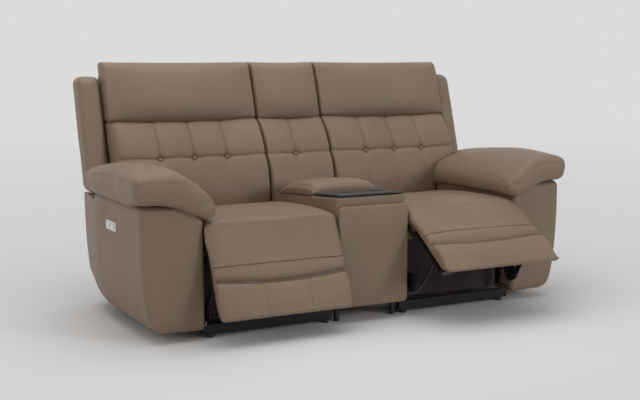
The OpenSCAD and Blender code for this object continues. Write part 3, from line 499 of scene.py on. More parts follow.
def seat_cushion(side):
    """Box lattice under seat_top, its front undercut so that the closed footrest fits below the nose."""
    base = seat_low[2] + 0.0005
    low, high = np.array([seat_low[0], -0.336, base]), np.array([seat_high[0], 0.257, 0.46])
    nose_z = SWING_Z - 0.020
    p, quads = lattice(ticks(low[0], high[0], 0.012, 0.034), ticks(low[1], high[1], 0.012, 0.026),
                       ticks(low[2], high[2], 0.010, 0.030, marks=[nose_z]))
    top = ease((p[:, 2:] - 0.36) / 0.06)
    p = round_corners(p, low, high, 0.006 + top * [0.028, 0.020, 0.028])
    share = (p[:, 2] - base) / (high[2] - base)
    p[:, 2] = base + share * (seat_top(p[:, 0], p[:, 1]) - 0.012 - base)
    undercut = 0.056 * (1 - ease((p[:, 2] - nose_z + 0.004) / 0.012))
    p[:, 1] = np.maximum(p[:, 1], low[1] + undercut)
    p += normals_of(p, quads) * (share > 0.55)[:, None] * wrinkle(p, 3 + SIDES[side], 0.21, 0.0016)[:, None]
    piece = half_piece(side, "seat_upholstery", p, quads, "leather", "seat")
    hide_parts(side + "_seat_cushion")


def foot_point(out, along, angle):
    """Point of the footrest in Y and Z: out from the swing axis' plane, along it, turned open by angle."""
    y, z = -out, -along
    return SWING_Y + y * np.cos(angle) + z * np.sin(angle), SWING_Z - y * np.sin(angle) + z * np.cos(angle)


# Down the footrest's face from its swing axis: the flap's stitch, the deep crease and the pad's tip
STITCH_AT, CREASE_AT, TIP_AT = 0.151, 0.212, 0.351
# Radius of the chaise skin round the swing axis
NOSE_R = 0.0345
# The chaise runs between the console and the arm. In front of them its edges stand out by these amounts:
# at the inner side, and at the outer side near the nose and near the tip. The two covers differ a little.
CHAISE_IN, CHAISE_OUT, CHAISE_REAR_Y = 0.1625, 0.7045, 0.255
SPREAD = {"left": (0.0, 0.012, 0.001), "right": (-0.010, 0.013, 0.013)}


def side_drop(x, amount):
    """How far a chaise skin rolls down towards its sides: amount times the sixth power of the width."""
    return amount * (np.abs(x - SEAT_X) / SEAT_HALF) ** 6


def widened(side, x, out, ahead, along):
    """X of a chaise skin once it is clear of the arm's front: it spreads towards its sides as the cube."""
    spread_in, near_nose, near_tip = SPREAD[side]
    spread_out = near_nose + (near_tip - near_nose) * ease((along - 0.02) / 0.12)
    across = np.clip((x - SEAT_X) / SEAT_HALF, -1.02, 1.02)
    free_out = ease((out - 0.007) / 0.008) * ease(ahead / 0.012)
    free_in = ease((ahead - 0.02) / 0.08)
    return x + np.where(across > 0, spread_out * free_out, spread_in * free_in) * across ** 3


def chaise_flap(side):
    """Skin along a path: over the whole seat, round the swing axis and down the footrest's face."""
    angle = REST_OPEN[side]
    arc = NOSE_R * (math.pi / 2 - angle)
    run = CHAISE_REAR_Y - SWING_Y
    bend, length = run + arc, run + arc + STITCH_AT
    thick = 0.034
    welt = run - 0.006
    xs = ticks(CHAISE_IN, CHAISE_OUT, 0.012, 0.024)
    over_seat = ticks(0, run, 0.014, 0.012, marks=[welt], near=(0.002, 0.005, 0.010))[:-1]
    down_face = ticks(bend, length, 0.011)[1:]
    ss = np.concatenate([over_seat, np.linspace(run, bend, 12), down_face, [length - 0.003, length - 0.007]])
    ss = np.unique(np.round(ss, 6))
    ts = ticks(-thick, 0, 0.010, 0.012)
    p, quads = lattice(xs, ss, ts)
    q = round_corners(p, [CHAISE_IN, 0, -thick], [CHAISE_OUT, length, 0], [0.022, 0.0, 0.016])
    x, s, t = q.T
    edge = np.abs(x - SEAT_X) / SEAT_HALF
    crown = 0.0030 * np.sin(math.pi * np.clip((s - bend) / STITCH_AT, 0, 1)) * (1 - edge ** 4)
    out = NOSE_R + t * np.where(s < bend, 0.8, 0.9) - side_drop(x, 0.008) + crown
    turn = np.clip((s - run) / NOSE_R, 0, math.pi / 2 - angle)
    before, beyond = np.clip(run - s, 0, None), np.clip(s - bend, 0, None)
    y = SWING_Y - out * np.sin(turn) + before - beyond * math.sin(angle)
    rise = seat_top(x, SWING_Y + before) - seat_top(x, np.full(len(x), SWING_Y))
    z = SWING_Z + out * np.cos(turn) - beyond * math.cos(angle) + rise
    p = np.stack([widened(side, x, out, -0.3165 - y, beyond), y, z], 1)
    ends = np.maximum(ease(1 - s / 0.03), ease(1 - (length - s) / 0.02))
    board = np.maximum(np.clip(-t / thick * 2, 0, 1), ends)
    p = stuffed(p, quads, np.maximum(board, ease((edge - 0.8) / 0.15)), 3.0, 0.008)
    skin = (t > -0.003)
    sewn = groove(s - welt, 0.0022, 0.004) + groove(length - s, 0.0012, 0.005)
    p -= normals_of(p, quads) * (sewn - wrinkle(p, 11 + SIDES[side], 0.19, 0.0017))[:, None] * skin[:, None]
    # Painted shade: the colour is darkened along the welt and at the flap's sewn end, where the seams lie in
    # shade.
    crease = 0.08 * np.exp(-(length - s) / 0.004) + 0.34 * np.exp(-np.abs(s - welt) / 0.003)
    piece = half_piece(side, "chaise_flap", p, quads, "leather", None, crease=crease * skin)
    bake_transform(piece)


def footrest_pad(side):
    """Pad in footrest coordinates: an upper part under the flap, a sewn band, and below a bowed deep crease
    a stuffed lower part that is sewn in thirds."""
    angle = REST_OPEN[side]
    back, face, top = -0.0145, 0.032, 0.032
    third = (CHAISE_OUT - CHAISE_IN) / 6
    seams = [SEAT_X - third, SEAT_X + third]
    xs = ticks(CHAISE_IN, CHAISE_OUT, 0.012, 0.024, marks=seams, near=(0.002, 0.006))
    outs = ticks(back, face, 0.010, 0.012)
    rows = [STITCH_AT, CREASE_AT]
    alongs = ticks(top, TIP_AT, 0.010, 0.016, marks=rows, near=(0.0015, 0.004, 0.008, 0.013))
    p, quads = lattice(xs, outs, alongs)
    x, out, along = round_corners(p, [xs[0], back, top], [xs[-1], face, TIP_AT], [0.014, 0.014, 0.012]).T
    across = (x - SEAT_X) / SEAT_HALF
    front = ease((out - back) / (face - back) * 1.6 - 0.5)
    bow = 0.009 - 0.017 * across ** 2
    along = along + bow * np.exp(-((along - CREASE_AT) / 0.035) ** 2)
    below = along - CREASE_AT - bow
    swell = 0.012 * np.clip(below / 0.045, 0, 1) ** 0.5 * (1 - 0.85 * ease((along - 0.265) / 0.085))
    band = np.where(along >= STITCH_AT, 0.0025 - 0.010 * ease((along - 0.175) / 0.045), 0)
    out = out + front * (np.where(along < STITCH_AT, -0.010, np.where(below > 0, swell, band)))
    out = out + 0.020 * (1 - front) * ease((along - 0.30) / 0.05)
    y, z = foot_point(out - front * side_drop(x, 0.007), along, angle)
    p = np.stack([widened(side, x, out, 0.02 + along * 0.9, along), y, z], 1)
    lines = np.minimum(np.abs(along - STITCH_AT), np.abs(below))
    board = np.maximum(1 - front, np.maximum(ease(1 - lines / 0.012), ease((np.abs(across) - 0.85) / 0.1)))
    p = stuffed(p, quads, np.maximum(board, ease((along - 0.325) / 0.015)), 4.0, 0.010)
    thirds = np.abs(np.abs(x - SEAT_X) - third)
    sewn = groove(along - STITCH_AT, 0.0012, 0.004) + groove(below, 0.009, 0.007)
    sewn = sewn + np.where(below > 0, groove(thirds, 0.0022, 0.007), 0)
    p += normals_of(p, quads) * (front * (wrinkle(p, 21 + SIDES[side], 0.13, 0.0018) - sewn))[:, None]
    # Painted shade: the colour darkens into the deep crease, more widely on its upper side, and faintly
    # along the stitch and the thirds' seams.
    fold = np.where(below > 0, below / 0.003, -below / 0.009)
    crease = 0.95 * np.exp(-fold) + 0.08 * np.exp(-np.abs(along - STITCH_AT) / 0.003)
    crease = crease + np.where(below > 0, 0.22 * np.exp(-thirds / 0.003), 0)
    piece = half_piece(side, "footrest_upholstery", p, quads, "leather", "footrest", crease=front * crease)
    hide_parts(side + "_footrest_pad")


def footrest_board(side):
    """Stained plywood board behind a footrest's pad, its corners cut round."""
    low = np.array([CHAISE_IN + 0.040, -0.0240, 0.026])
    high = np.array([CHAISE_OUT - 0.030, -0.0150, 0.306])
    p, quads = lattice(ticks(low[0], high[0], 0.05, 0.020), ticks(low[1], high[1], 0.009, 0.001),
                       ticks(low[2], high[2], 0.05, 0.020))
    x, out, along = round_corners(p, low, high, [0.020, 0.001, 0.020]).T
    y, z = foot_point(out, along, REST_OPEN[side])
    p = np.stack([x, y, z], 1)
    piece = half_piece(side, "footrest_backing", p, quads, "black_board", "footrest", levels=0)
    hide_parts(side + "_footrest_board")


def round_plate(x_low, x_high, middle, radius):
    """Flat disc across X: a square lattice whose rings are pulled to circles, (y, z) going to
    (y, z) m / |(y, z)| with m = max(|y|, |z|)."""
    p, quads = lattice([x_low, x_high], ticks(-radius, radius, 0.006), ticks(-radius, radius, 0.006))
    m = np.maximum(np.abs(p[:, 1]), np.abs(p[:, 2]))
    pull = m / np.maximum(np.hypot(p[:, 1], p[:, 2]), 1e-9)
    p[:, 1:] = np.array(middle) + p[:, 1:] * pull[:, None]
    return p, quads


def knee_plates(side):
    """Round plate at the knee of each drive crank, on the crank's inner face, with three rivet heads."""
    angle, crank_plane = REST_OPEN[side], 0.2505
    plate_r, plate_t = 0.040, 0.003
    rivet_r, rivet_t, rivet_ring = 0.0045, 0.0015, 0.027
    crank_axis = np.array([SWING_Y + 0.090, SWING_Z - 0.150])
    lug_y, lug_z, knee_share = 0.045, -0.195, 0.865
    arm = np.array([lug_y * math.cos(angle) + lug_z * math.sin(angle),
                    lug_z * math.cos(angle) - lug_y * math.sin(angle)])
    middle = crank_axis + arm * knee_share
    plates, rivets = [], []
    for way in (-1, 1):
        outer, inner = SEAT_X + way * crank_plane, SEAT_X + way * (crank_plane - plate_t)
        head = inner - way * rivet_t
        plates.append(round_plate(*sorted((inner, outer)), middle, plate_r))
        for turn in (0.4, 2.5, 4.6):
            spot = middle + rivet_ring * np.array([math.cos(turn - angle), math.sin(turn - angle)])
            rivets.append(round_plate(*sorted((inner, head)), spot, rivet_r))
    for name, discs, finish in (("knee_plates", plates, "black_steel"),
                                ("knee_rivets", rivets, "zinc_steel")):
        starts = np.cumsum([0] + [len(p) for p, _ in discs])
        points = np.concatenate([p for p, _ in discs])
        quads = np.concatenate([q + start for (_, q), start in zip(discs, starts)])
        piece = half_piece(side, name, points, quads, finish, "cranks", levels=0, smooth=False)


# Backs

# Below these heights the lumbar cushions and the shells are no wider than the seat, clear of the arms
LUMBAR_STEP_Z, SHELL_STEP_Z = 0.518, 0.462


def beside_seat(step_z):
    """Cells left out of a back's lattice: those beyond the seat's side and below the step."""
    return lambda u, v, w: (u > seat_high[0]) & (w < step_z)


def tufted(x, z, columns, rows, deep, faint):
    """Stuffing of a tufted back: puffs between columns and rows, the columns faint below the buttons."""
    upper = (z > TUFT_Z)
    across = puff(x, columns, 0.5)
    level = puff(z, rows, 0.45)
    share = np.where(upper, deep, faint)
    return level * (1 - share + share * across)


def buttons_field(x, z, places):
    """Pull of the buttons: a bell round each one with eight radial gathers."""
    pull = np.zeros(len(x))
    for place in places:
        r = np.hypot(x - place, z - TUFT_Z)
        turn = np.arctan2(z - TUFT_Z, x - place)
        pull += dent(r, 0.010, 0.017) + 0.0011 * np.cos(8 * turn) * np.exp(-((r - 0.028) / 0.013) ** 2)
    return pull


def lumbar(name, low_x, high_x, low_z, columns, buttons, body, node, side=None):
    """Tufted face on the lumbar curve, closed at the sides and against the shell."""
    deep, top_z = 0.10, 0.781
    step_x, step_z = ([seat_high[0]], [LUMBAR_STEP_Z]) if side else ([], [])
    xs = ticks(low_x, high_x, 0.011, 0.014, marks=columns[1:-1] + step_x)
    ds = ticks(0, deep, 0.016, 0.024)
    zs = ticks(low_z, top_z, 0.011, 0.018, marks=[TUFT_Z] + step_z)
    p, quads = lattice(xs, ds, zs, beside_seat(LUMBAR_STEP_Z) if side else None)
    outer = (p[:, :1] > (low_x + high_x) / 2) & bool(side)
    radii = np.where(outer, [0.036, 0.040, 0.020], [0.010, 0.018, 0.024])
    x, d, z = round_corners(p, [low_x, 0, low_z], [high_x, deep, top_z], radii).T
    face = np.clip(1 - d / 0.030, 0, 1)
    arch = 0.006 * puff(x, columns, 1.0)
    lines = [RISE_Z - 0.07, TUFT_Z, SEAM_Z + 0.008]
    fill = tufted(x, z - arch, columns, lines, 0.70, 0.14)
    y = lumbar_y(z) + (shell_y(z) - 0.0005 - lumbar_y(z)) * d / deep + face * (0.004 - 0.016 * fill)
    p = np.stack([x, y, z], 1)
    held = np.maximum(1 - face, np.exp(-((z - arch - TUFT_Z) / 0.012) ** 2))
    for line in columns[1:-1]:
        held = np.maximum(held, np.exp(-((x - line) / 0.010) ** 2) * (z > TUFT_Z))
    p = stuffed(p, quads, np.maximum(held, ease((z - 0.76) / 0.015)), 2.5, 0.006)
    row = np.abs(z - arch - TUFT_Z)
    sewn = groove(row, 0.0032, 0.006)
    # Painted shade along the row of buttons and along the columns, darker on the upper columns.
    crease = 0.26 * np.exp(-row / 0.004)
    for line in columns[1:-1]:
        upper = ease((z - TUFT_Z) / 0.01)
        sewn = sewn + groove(x - line, 0.0006 + 0.0026 * upper, 0.008)
        crease = np.maximum(crease, (0.05 + 0.15 * upper) * np.exp(-np.abs(x - line) / 0.004))
    p[:, 1] += face * (sewn + buttons_field(x, z, buttons))
    p += normals_of(p, quads) * (face * wrinkle(p, 31 + len(name), 0.10, 0.0015))[:, None]
    # Painted shade in the dimple round each button.
    for place in buttons:
        crease = np.maximum(crease, 0.75 * np.exp(-(np.hypot(x - place, z - TUFT_Z) / 0.012) ** 4))
    piece = half_piece(side, name, p, quads, "leather", body, crease=face * crease)
    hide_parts(node)


def tuft_buttons(name, places, body, side=None):
    """Covered buttons: balls flattened to low domes, one at each place, laid square to the lumbar face."""
    ball, quads = lattice(*[ticks(-1, 1, 0.25, 0.0)] * 3)
    ball = round_corners(ball, [-1, -1, -1], [1, 1, 1], 1.0)
    lean = math.atan2(float(lumbar_y(TUFT_Z + 0.01) - lumbar_y(TUFT_Z - 0.01)), 0.02)
    level = ball * [TUFT_R, 0.0055, TUFT_R]
    turned = np.stack([level[:, 0], level[:, 1] * math.cos(lean) + level[:, 2] * math.sin(lean),
                       level[:, 2] * math.cos(lean) - level[:, 1] * math.sin(lean)], 1)
    rest_y = float(lumbar_y(TUFT_Z)) + 0.009
    points = np.concatenate([turned + [place, rest_y, TUFT_Z] for place in places])
    faces = np.concatenate([quads + k * len(ball) for k in range(len(places))])
    piece = half_piece(side, name, points, faces, "button_leather", body)
    if side:
        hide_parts(side + "_tuft_buttons")


def headrest(name, low_x, high_x, body, node, side=None):
    """Pillow on a leaning line: its face swells most at crown_at of its height, falls off as a parabola
    above and turns in below, and its lower edge sags in the middle."""
    deep, low_z, high_z, crown_at = 0.095, 0.756, BACK_TOP + 0.002, 0.42
    p, quads = lattice(ticks(low_x, high_x, 0.012, 0.014), ticks(0, deep, 0.014, 0.030),
                       ticks(low_z, high_z, 0.010, 0.030))
    radii = np.where(p[:, 2:] > 0.9, [0.009, 0.026, 0.022], [0.009, 0.024, 0.018])
    x, d, z = round_corners(p, [low_x, 0, low_z], [high_x, deep, high_z], radii).T
    across = (2 * x - low_x - high_x) / (high_x - low_x)
    sag = 0.6 if side is None else 1.0
    lift = 0.003 + 0.016 * sag * across ** 2
    z = z + lift * (1 - ease((z - low_z) / 0.12)) - 0.003 * (1 - across ** 2) * ease((z - 0.95) / 0.07)
    face = np.clip(1 - d / 0.050, 0, 1)
    share = np.clip((z - low_z - lift) / (high_z - low_z - lift), 0, 1)
    under = np.clip(1 - share / crown_at, 0, 1)
    over = np.clip((share - crown_at) / (1 - crown_at), 0, 1)
    swell = np.where(share < crown_at, (1 - under ** 2) ** 0.8, 1 - over ** 2)
    line = SEAM_Y + 0.073 * np.clip((z - SEAM_Z) / (BACK_TOP - SEAM_Z), -0.2, 1)
    front = line - 0.004 * under ** 2 - (0.004 + 0.029 * (1 - np.abs(across) ** 3)) * swell
    y = line + (shell_y(z) - 0.0005 - line) * d / deep + face * (front - line)
    p = np.stack([x, y, z], 1)
    held = np.maximum(1 - face, np.maximum(ease((np.abs(across) - 0.9) / 0.08), ease(1 - share / 0.06)))
    p = stuffed(p, quads, held, 3.0, 0.008)
    p += normals_of(p, quads) * (face * wrinkle(p, 41 + len(name), 0.16, 0.0016))[:, None]
    # Painted shade: the colour darkens over the lower roll as it turns in under the swell, and along the
    # lower edge.
    depth = under ** 1.1 * (1 - 0.5 * np.abs(across) ** 3)
    crease = depth * face + 0.3 * (1 - ease(share / 0.03))
    piece = half_piece(side, name, p, quads, "leather", body, crease=crease)
    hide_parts(node)


def back_shell(name, low_x, high_x, low_z, body, node, side=None):
    """Covered plywood shell: a leaning slab with a sewn rear panel that is puffed inside its border."""
    high_z, border, cross_seam_z = BACK_TOP - 0.006, 0.028, 0.62
    top_taper, foot_taper = 0.018, 0.045
    near = (0.002, 0.006)
    step_x, step_z = ([seat_high[0]], [SHELL_STEP_Z]) if side else ([], [])
    xs = ticks(low_x, high_x, 0.016, 0.012, marks=[low_x + border, high_x - border] + step_x, near=near)
    ds = ticks(0, SHELL_T, 0.016, 0.012)
    zs = ticks(low_z, high_z, 0.016, 0.012, marks=[high_z - border, cross_seam_z] + step_z, near=near)
    p, quads = lattice(xs, ds, zs, beside_seat(SHELL_STEP_Z) if side else None)
    behind = p[:, 1:2] > SHELL_T / 2
    radii = np.where(behind, [0.026, 0.030, 0.022], [0.010, 0.008, 0.022])
    x, d, z = round_corners(p, [low_x, 0, low_z], [high_x, SHELL_T, high_z], radii).T
    rear = np.clip(d / SHELL_T * 3 - 2, 0, 1)
    inside = np.minimum(np.minimum(x - low_x, high_x - x), high_z - z) - border
    sewn = groove(inside, 0.0030, 0.004) + np.where(inside > 0, groove(z - cross_seam_z, 0.0025, 0.004), 0)
    puffed = 0.004 * ease(inside / 0.05) * ease((z - 0.40) / 0.10)
    y = shell_y(z) + d + rear * (puffed - sewn)
    if side:
        # Narrower above the wings, and at the foot, which leans back between the side plates
        x = x - top_taper * ease((z - 0.915) / 0.07) * ease((x - high_x) / 0.10 + 1)
        x = x + foot_taper * (SEAT_X - x) * (1 - ease((z - 0.37) / 0.05))
    p = np.stack([x, y, z], 1)
    p += normals_of(p, quads) * (rear * wrinkle(p, 51 + len(name), 0.2, 0.0012))[:, None]
    # Painted shade along the rear panel's border seam and its cross seam.
    cross_seam = np.where(inside > 0, np.exp(-np.abs(z - cross_seam_z) / 0.003), 0)
    crease = rear * 0.5 * np.maximum(np.exp(-np.abs(inside) / 0.003), cross_seam)
    piece = half_piece(side, name, p, quads, "leather", body, crease=crease)
    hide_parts(node)


def wing(side):
    """Leaning roll beside a back: a box lattice sheared with the rear face, rounded like a bolster."""
    thick = 0.120
    low = np.array([0.8405, 0.0, ARM_TOP + 0.004])
    high = np.array([0.9335, thick, 0.962])
    p, quads = lattice(ticks(low[0], high[0], 0.009, 0.030), ticks(low[1], high[1], 0.010, 0.040),
                       ticks(low[2], high[2], 0.014, 0.030))
    radii = np.where(p[:, :1] > 0.886, [0.040, 0.046, 0.036], [0.022, 0.034, 0.026])
    radii[:, 1] = np.where(p[:, 1] > thick / 2, 0.022, radii[:, 1])
    x, d, z = round_corners(p, low, high, radii).T
    y = rear_y(z) - thick + d
    p = np.stack([x, y, z], 1)
    p += normals_of(p, quads) * wrinkle(p, 61 + SIDES[side], 0.2, 0.0014)[:, None]
    piece = half_piece(side, "wing", p, quads, "leather", "root")
    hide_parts("side_wings")


# Arms

ARM_IN, ARM_FRONT, ARM_REAR, ARM_BASE = 0.7065, -0.315, 0.505, 0.038
# The notch in an arm's upper rear inside, in which the back leans
NOTCH_X, NOTCH_Y, NOTCH_Z = 0.838, 0.285, 0.360
# The two arms differ a little: how far the side stands out, the pad's outer edge and how low its crown is
ARM_STAND = {"left": 0.0, "right": 0.005}
PAD_OUT = {"left": 0.979, "right": 0.967}
PAD_LOWER = {"left": 0.0, "right": 0.009}


def arm_out(z, y):
    """Outer side of an arm: flared with the height and drawn in towards the rear."""
    flare = curve(z, [0.038, 0.05, 0.07, 0.12, 0.216, 0.33, 0.42, 0.52],
                  [0.885, 0.898, 0.911, 0.928, 0.942, 0.949, 0.9505, 0.952])
    return flare - 0.034 * ease((y - 0.16) / 0.42)


def arm_cover(side):
    """Box lattice warped so that its outer side follows arm_out, with the notch cut out for the back."""
    width, high_z = 0.249, 0.513
    us = ticks(0, width, 0.012, 0.020, marks=[NOTCH_X - ARM_IN], near=())
    ys = ticks(ARM_FRONT, ARM_REAR, 0.016, 0.030, marks=[NOTCH_Y], near=())
    zs = ticks(ARM_BASE, high_z, 0.014, 0.030, marks=[NOTCH_Z, ARM_TOP], near=())

    def hollow(u, v, w):
        notch = (v > NOTCH_Y) & (w > NOTCH_Z) & (u < NOTCH_X - ARM_IN)
        return notch | ((w > ARM_TOP) & ((u < 0.03) | (v > 0.24)))

    p, quads = lattice(us, ys, zs, hollow)
    start = p.copy()
    radii = np.where(p[:, :1] > width / 2, [0.026, 0.026, 0.032], [0.016, 0.016, 0.012])
    radii = radii + np.where(p[:, 2:] < 0.2, [0.0, 0.0, 0.012], 0.0)
    p = round_corners(p, [0, ARM_FRONT, ARM_BASE], [width, ARM_REAR, high_z], radii)
    share = p[:, 0] / width
    y, z = p[:, 1], p[:, 2]
    rear_rise = 0.05 * ease((y - 0.36) / 0.15) * np.clip(1 - (z - ARM_BASE) / 0.12, 0, 1)
    level = np.clip((z - ARM_BASE) / 0.46, 0, 1)
    bulge = 0.006 * np.sin(math.pi * np.clip(share, 0, 1)) * np.sin(math.pi * level) ** 0.6
    front = np.clip(1 - (start[:, 1] - ARM_FRONT) / 0.02, 0, 1)
    outside = arm_out(z, y) + ARM_STAND[side]
    x = ARM_IN + share * (outside - ARM_IN)
    # At the rear the notch keeps its place, and only the part outside of it follows the flare
    past = np.clip((p[:, 0] - NOTCH_X + ARM_IN) / (width - NOTCH_X + ARM_IN), 0, 1)
    squared = np.minimum(ARM_IN + p[:, 0], NOTCH_X) + past * (outside - NOTCH_X)
    x = x + (squared - x) * ease((y - 0.15) / 0.12)
    # The upper inside corner at the front is cut round under the pad
    corner = np.clip((z - 0.430) / 0.045, 0, 0.98)
    x = x + 0.045 * (1 - np.sqrt(1 - corner ** 2)) * (1 - ease(share / 0.35)) * (1 - ease((y + 0.25) / 0.05))
    p = np.stack([x, y - front * bulge, z + rear_rise], 1)
    side_face = (start[:, 0] > width - 0.001)
    # The hide lies flat round the switch plate
    off_plate = side_face * ease((np.hypot((y - 0.025) / 0.11, (z - 0.403) / 0.07) - 0.7) / 0.6)
    puffed = 0.005 * np.sin(math.pi * np.clip((y - ARM_FRONT) / (ARM_REAR - ARM_FRONT), 0, 1)) * off_plate
    edge = np.hypot(width - start[:, 0], start[:, 1] - ARM_FRONT)
    uneven = wrinkle(p, 71 + SIDES[side], 0.30, 0.0018) * (front + off_plate)
    roll = 0.0025 * np.exp(-(edge / 0.014) ** 2) - front * groove(width - start[:, 0] - 0.026, 0.0022, 0.005)
    p += normals_of(p, quads) * (puffed + roll + uneven)[:, None]
    # Painted shade: the top of the arm cover, under the pad's overhang, is darkened.
    crease = 0.7 * ease((z - 0.487) / 0.02)
    piece = half_piece(side, "arm_upholstery", p, quads, "leather", "root", crease=crease)
    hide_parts(side + "_arm_cover")


def arm_pad(side):
    """Boxed pillow on the arm: its crown falls off in a steep shoulder to the inner side and in a short one
    to the outer side, where a border four fifths of its height is sewn to the top panel."""
    low_x, high_x, front_y, rear_far = 0.686, PAD_OUT[side], -0.357, 0.347
    seam_w = 0.80
    p, quads = lattice(ticks(low_x, high_x, 0.012, 0.040), ticks(front_y, rear_far, 0.014, 0.050),
                       ticks(0, 1, 0.075, 0.30, marks=[seam_w], near=(0.02, 0.05)))
    start = p.copy()
    lower, outer = p[:, 2:] < 0.5, p[:, :1] > 0.84
    radii = np.where(lower, [0.026, 0.034, 0.22], [0.040, 0.044, 0.30])
    radii = np.where(outer, np.where(lower, [0.034, 0.034, 0.30], [0.028, 0.044, 0.24]), radii)
    x, y, w = round_corners(p, [low_x, front_y, 0], [high_x, rear_far, 1], radii).T
    across = (x - low_x) / (high_x - low_x)
    crown = curve(y, [-0.357, -0.33, -0.30, -0.25, -0.18, -0.10, 0.0, 0.10, 0.20, 0.30, 0.347],
                  [0.626, 0.630, 0.634, 0.640, 0.645, 0.646, 0.642, 0.634, 0.623, 0.610, 0.602])
    ridge_x = 0.862
    shoulder = (0.100 - 0.040 * ease((y + 0.1) / 0.4)) * np.clip((ridge_x - x) / 0.185, 0, None) ** 1.9
    brim = 0.018 * np.clip((x - ridge_x) / 0.123, 0, None) ** 3
    top = crown - shoulder - brim - PAD_LOWER[side]
    lip = curve(x, [0.686, 0.715, 0.757, 0.788, 0.860, 0.930, 0.985],
                [0.450, 0.461, 0.475, 0.491, 0.510, 0.516, 0.512])
    rest = curve(x, [0.686, 0.708, 0.735, 0.90, 0.985], [0.452, 0.462, 0.484, 0.489, 0.500])
    bottom = lip + (rest - lip) * ease((y + 0.30) / 0.10)
    z = bottom + w * (top - bottom)
    rear_in = lumbar_y(z) - 0.004
    rear = rear_in + (rear_far - rear_in) * ease((x - 0.815) / 0.045)
    y = front_y + (y - front_y) * (rear - front_y) / (rear_far - front_y)
    side_swell = np.sin(math.pi * np.clip(w, 0, 1)) ** 0.8
    x = x - 0.015 * ease((y - 0.05) / 0.30) * across
    x = x + (0.006 * side_swell - 0.016 * np.clip(1 - w, 0, 1) ** 2) * across ** 2
    x = x - 0.019 * side_swell * (1 - across) ** 3 * (1 - 0.6 * ease((y - 0.1) / 0.2))
    p = np.stack([x, y, z], 1)
    to_corner = np.minimum(np.hypot(high_x - start[:, 0], start[:, 1] - front_y),
                           np.hypot(start[:, 0] - low_x, start[:, 1] - front_y))
    on_border = (start[:, 2] < 0.999) & (start[:, 2] > 0.001)
    to_seam = np.where(on_border, np.abs(start[:, 2] - seam_w), 1) * 0.13
    sewn_share = 0.25 + 0.75 * ease((across - 0.15) / 0.35)
    held = np.maximum(np.exp(-(to_seam / 0.008) ** 2) * sewn_share, np.where(start[:, 2] < 0.001, 1, 0))
    p = stuffed(p, quads, held, 4.0, 0.010)
    upright = np.where(on_border & (start[:, 2] < seam_w + 0.1), np.exp(-to_corner / 0.006), 0)
    sewn = groove(to_seam, 0.0032, 0.006) * sewn_share + 0.0030 * upright
    p += normals_of(p, quads) * (wrinkle(p, 81 + SIDES[side], 0.15, 0.0026) - sewn)[:, None]
    # Painted shade along the border seam and at the upright corners.
    crease = 0.20 * np.exp(-to_seam / 0.005) * sewn_share + 0.15 * upright
    piece = half_piece(side, "arm_pillow", p, quads, "leather", "root", crease=crease)
    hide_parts(side + "_arm_pad")


# Console

LID_FRONT_Y, LID_REAR_Y, LID_FRONT_Z, LID_REAR_Z = -0.112, 0.220, 0.482, 0.459
LID_HALF = 0.150
TRAY_FRONT_Y, TRAY_TOP, TRAY_FALL = -0.321, 0.514, 0.075


def rim_z(y):
    """Rim of the console box: it falls from under the lid's front edge to under its rear edge."""
    return LID_FRONT_Z - (y - LID_FRONT_Y) * (LID_FRONT_Z - LID_REAR_Z) / (LID_REAR_Y - LID_FRONT_Y)


def console_box():
    """Box lattice with the bin, the tray's recess and the lower compartment left hollow, covered in hide."""
    wall, step_y, bin_rear = 0.016, LID_FRONT_Y, 0.212
    store_low, store_high, bin_low = 0.072, 0.234, 0.250
    low, high = np.array([-CONSOLE_X, -0.322, 0.060]), np.array([CONSOLE_X, 0.2607, 0.500])
    across = [wall - CONSOLE_X, CONSOLE_X - wall]
    along = [low[1] + wall, step_y - wall, step_y, step_y + wall, bin_rear]
    levels = [store_low, store_high, bin_low, LID_FRONT_Z]
    xs, ys, zs = (ticks(low[k], high[k], 0.016, 0.010, marks=marks, near=(0.001,))
                  for k, marks in enumerate((across, along, levels)))

    def hollow(u, v, w):
        inside = np.abs(u) < CONSOLE_X - wall
        bin_space = inside & (v > step_y + wall) & (v < bin_rear) & (w > bin_low)
        recess = inside & (v > low[1] + wall) & (v < step_y - wall) & (w > bin_low)
        store = inside & (v > low[1] + wall) & (w > store_low) & (w < store_high)
        return bin_space | recess | store | ((v > step_y) & (w > LID_FRONT_Z))

    p, quads = lattice(xs, ys, zs, hollow)
    outside = (np.abs(np.abs(p[:, 0]) - CONSOLE_X) < 0.011) | (p[:, 1] < low[1] + 0.011)
    q = round_corners(p, low, high, [0.010, 0.010, 0.006])
    p = np.where(outside[:, None], q, p)
    rim = ease((p[:, 2] - 0.30) / 0.18)
    under_tray = TRAY_FALL * (p[:, 1] - low[1]) * ease((p[:, 2] - 0.44) / 0.06)
    p[:, 2] -= np.where(p[:, 1] >= step_y - 0.0001, rim * (LID_FRONT_Z - rim_z(p[:, 1])), under_tray)
    piece = mesh_piece("console_cover", p, quads, "leather", "root", levels=0, smooth=False)
    soften = piece.modifiers.new("soften", "BEVEL")
    soften.width, soften.segments, soften.limit_method = 0.003, 2, "ANGLE"
    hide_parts("console_box")


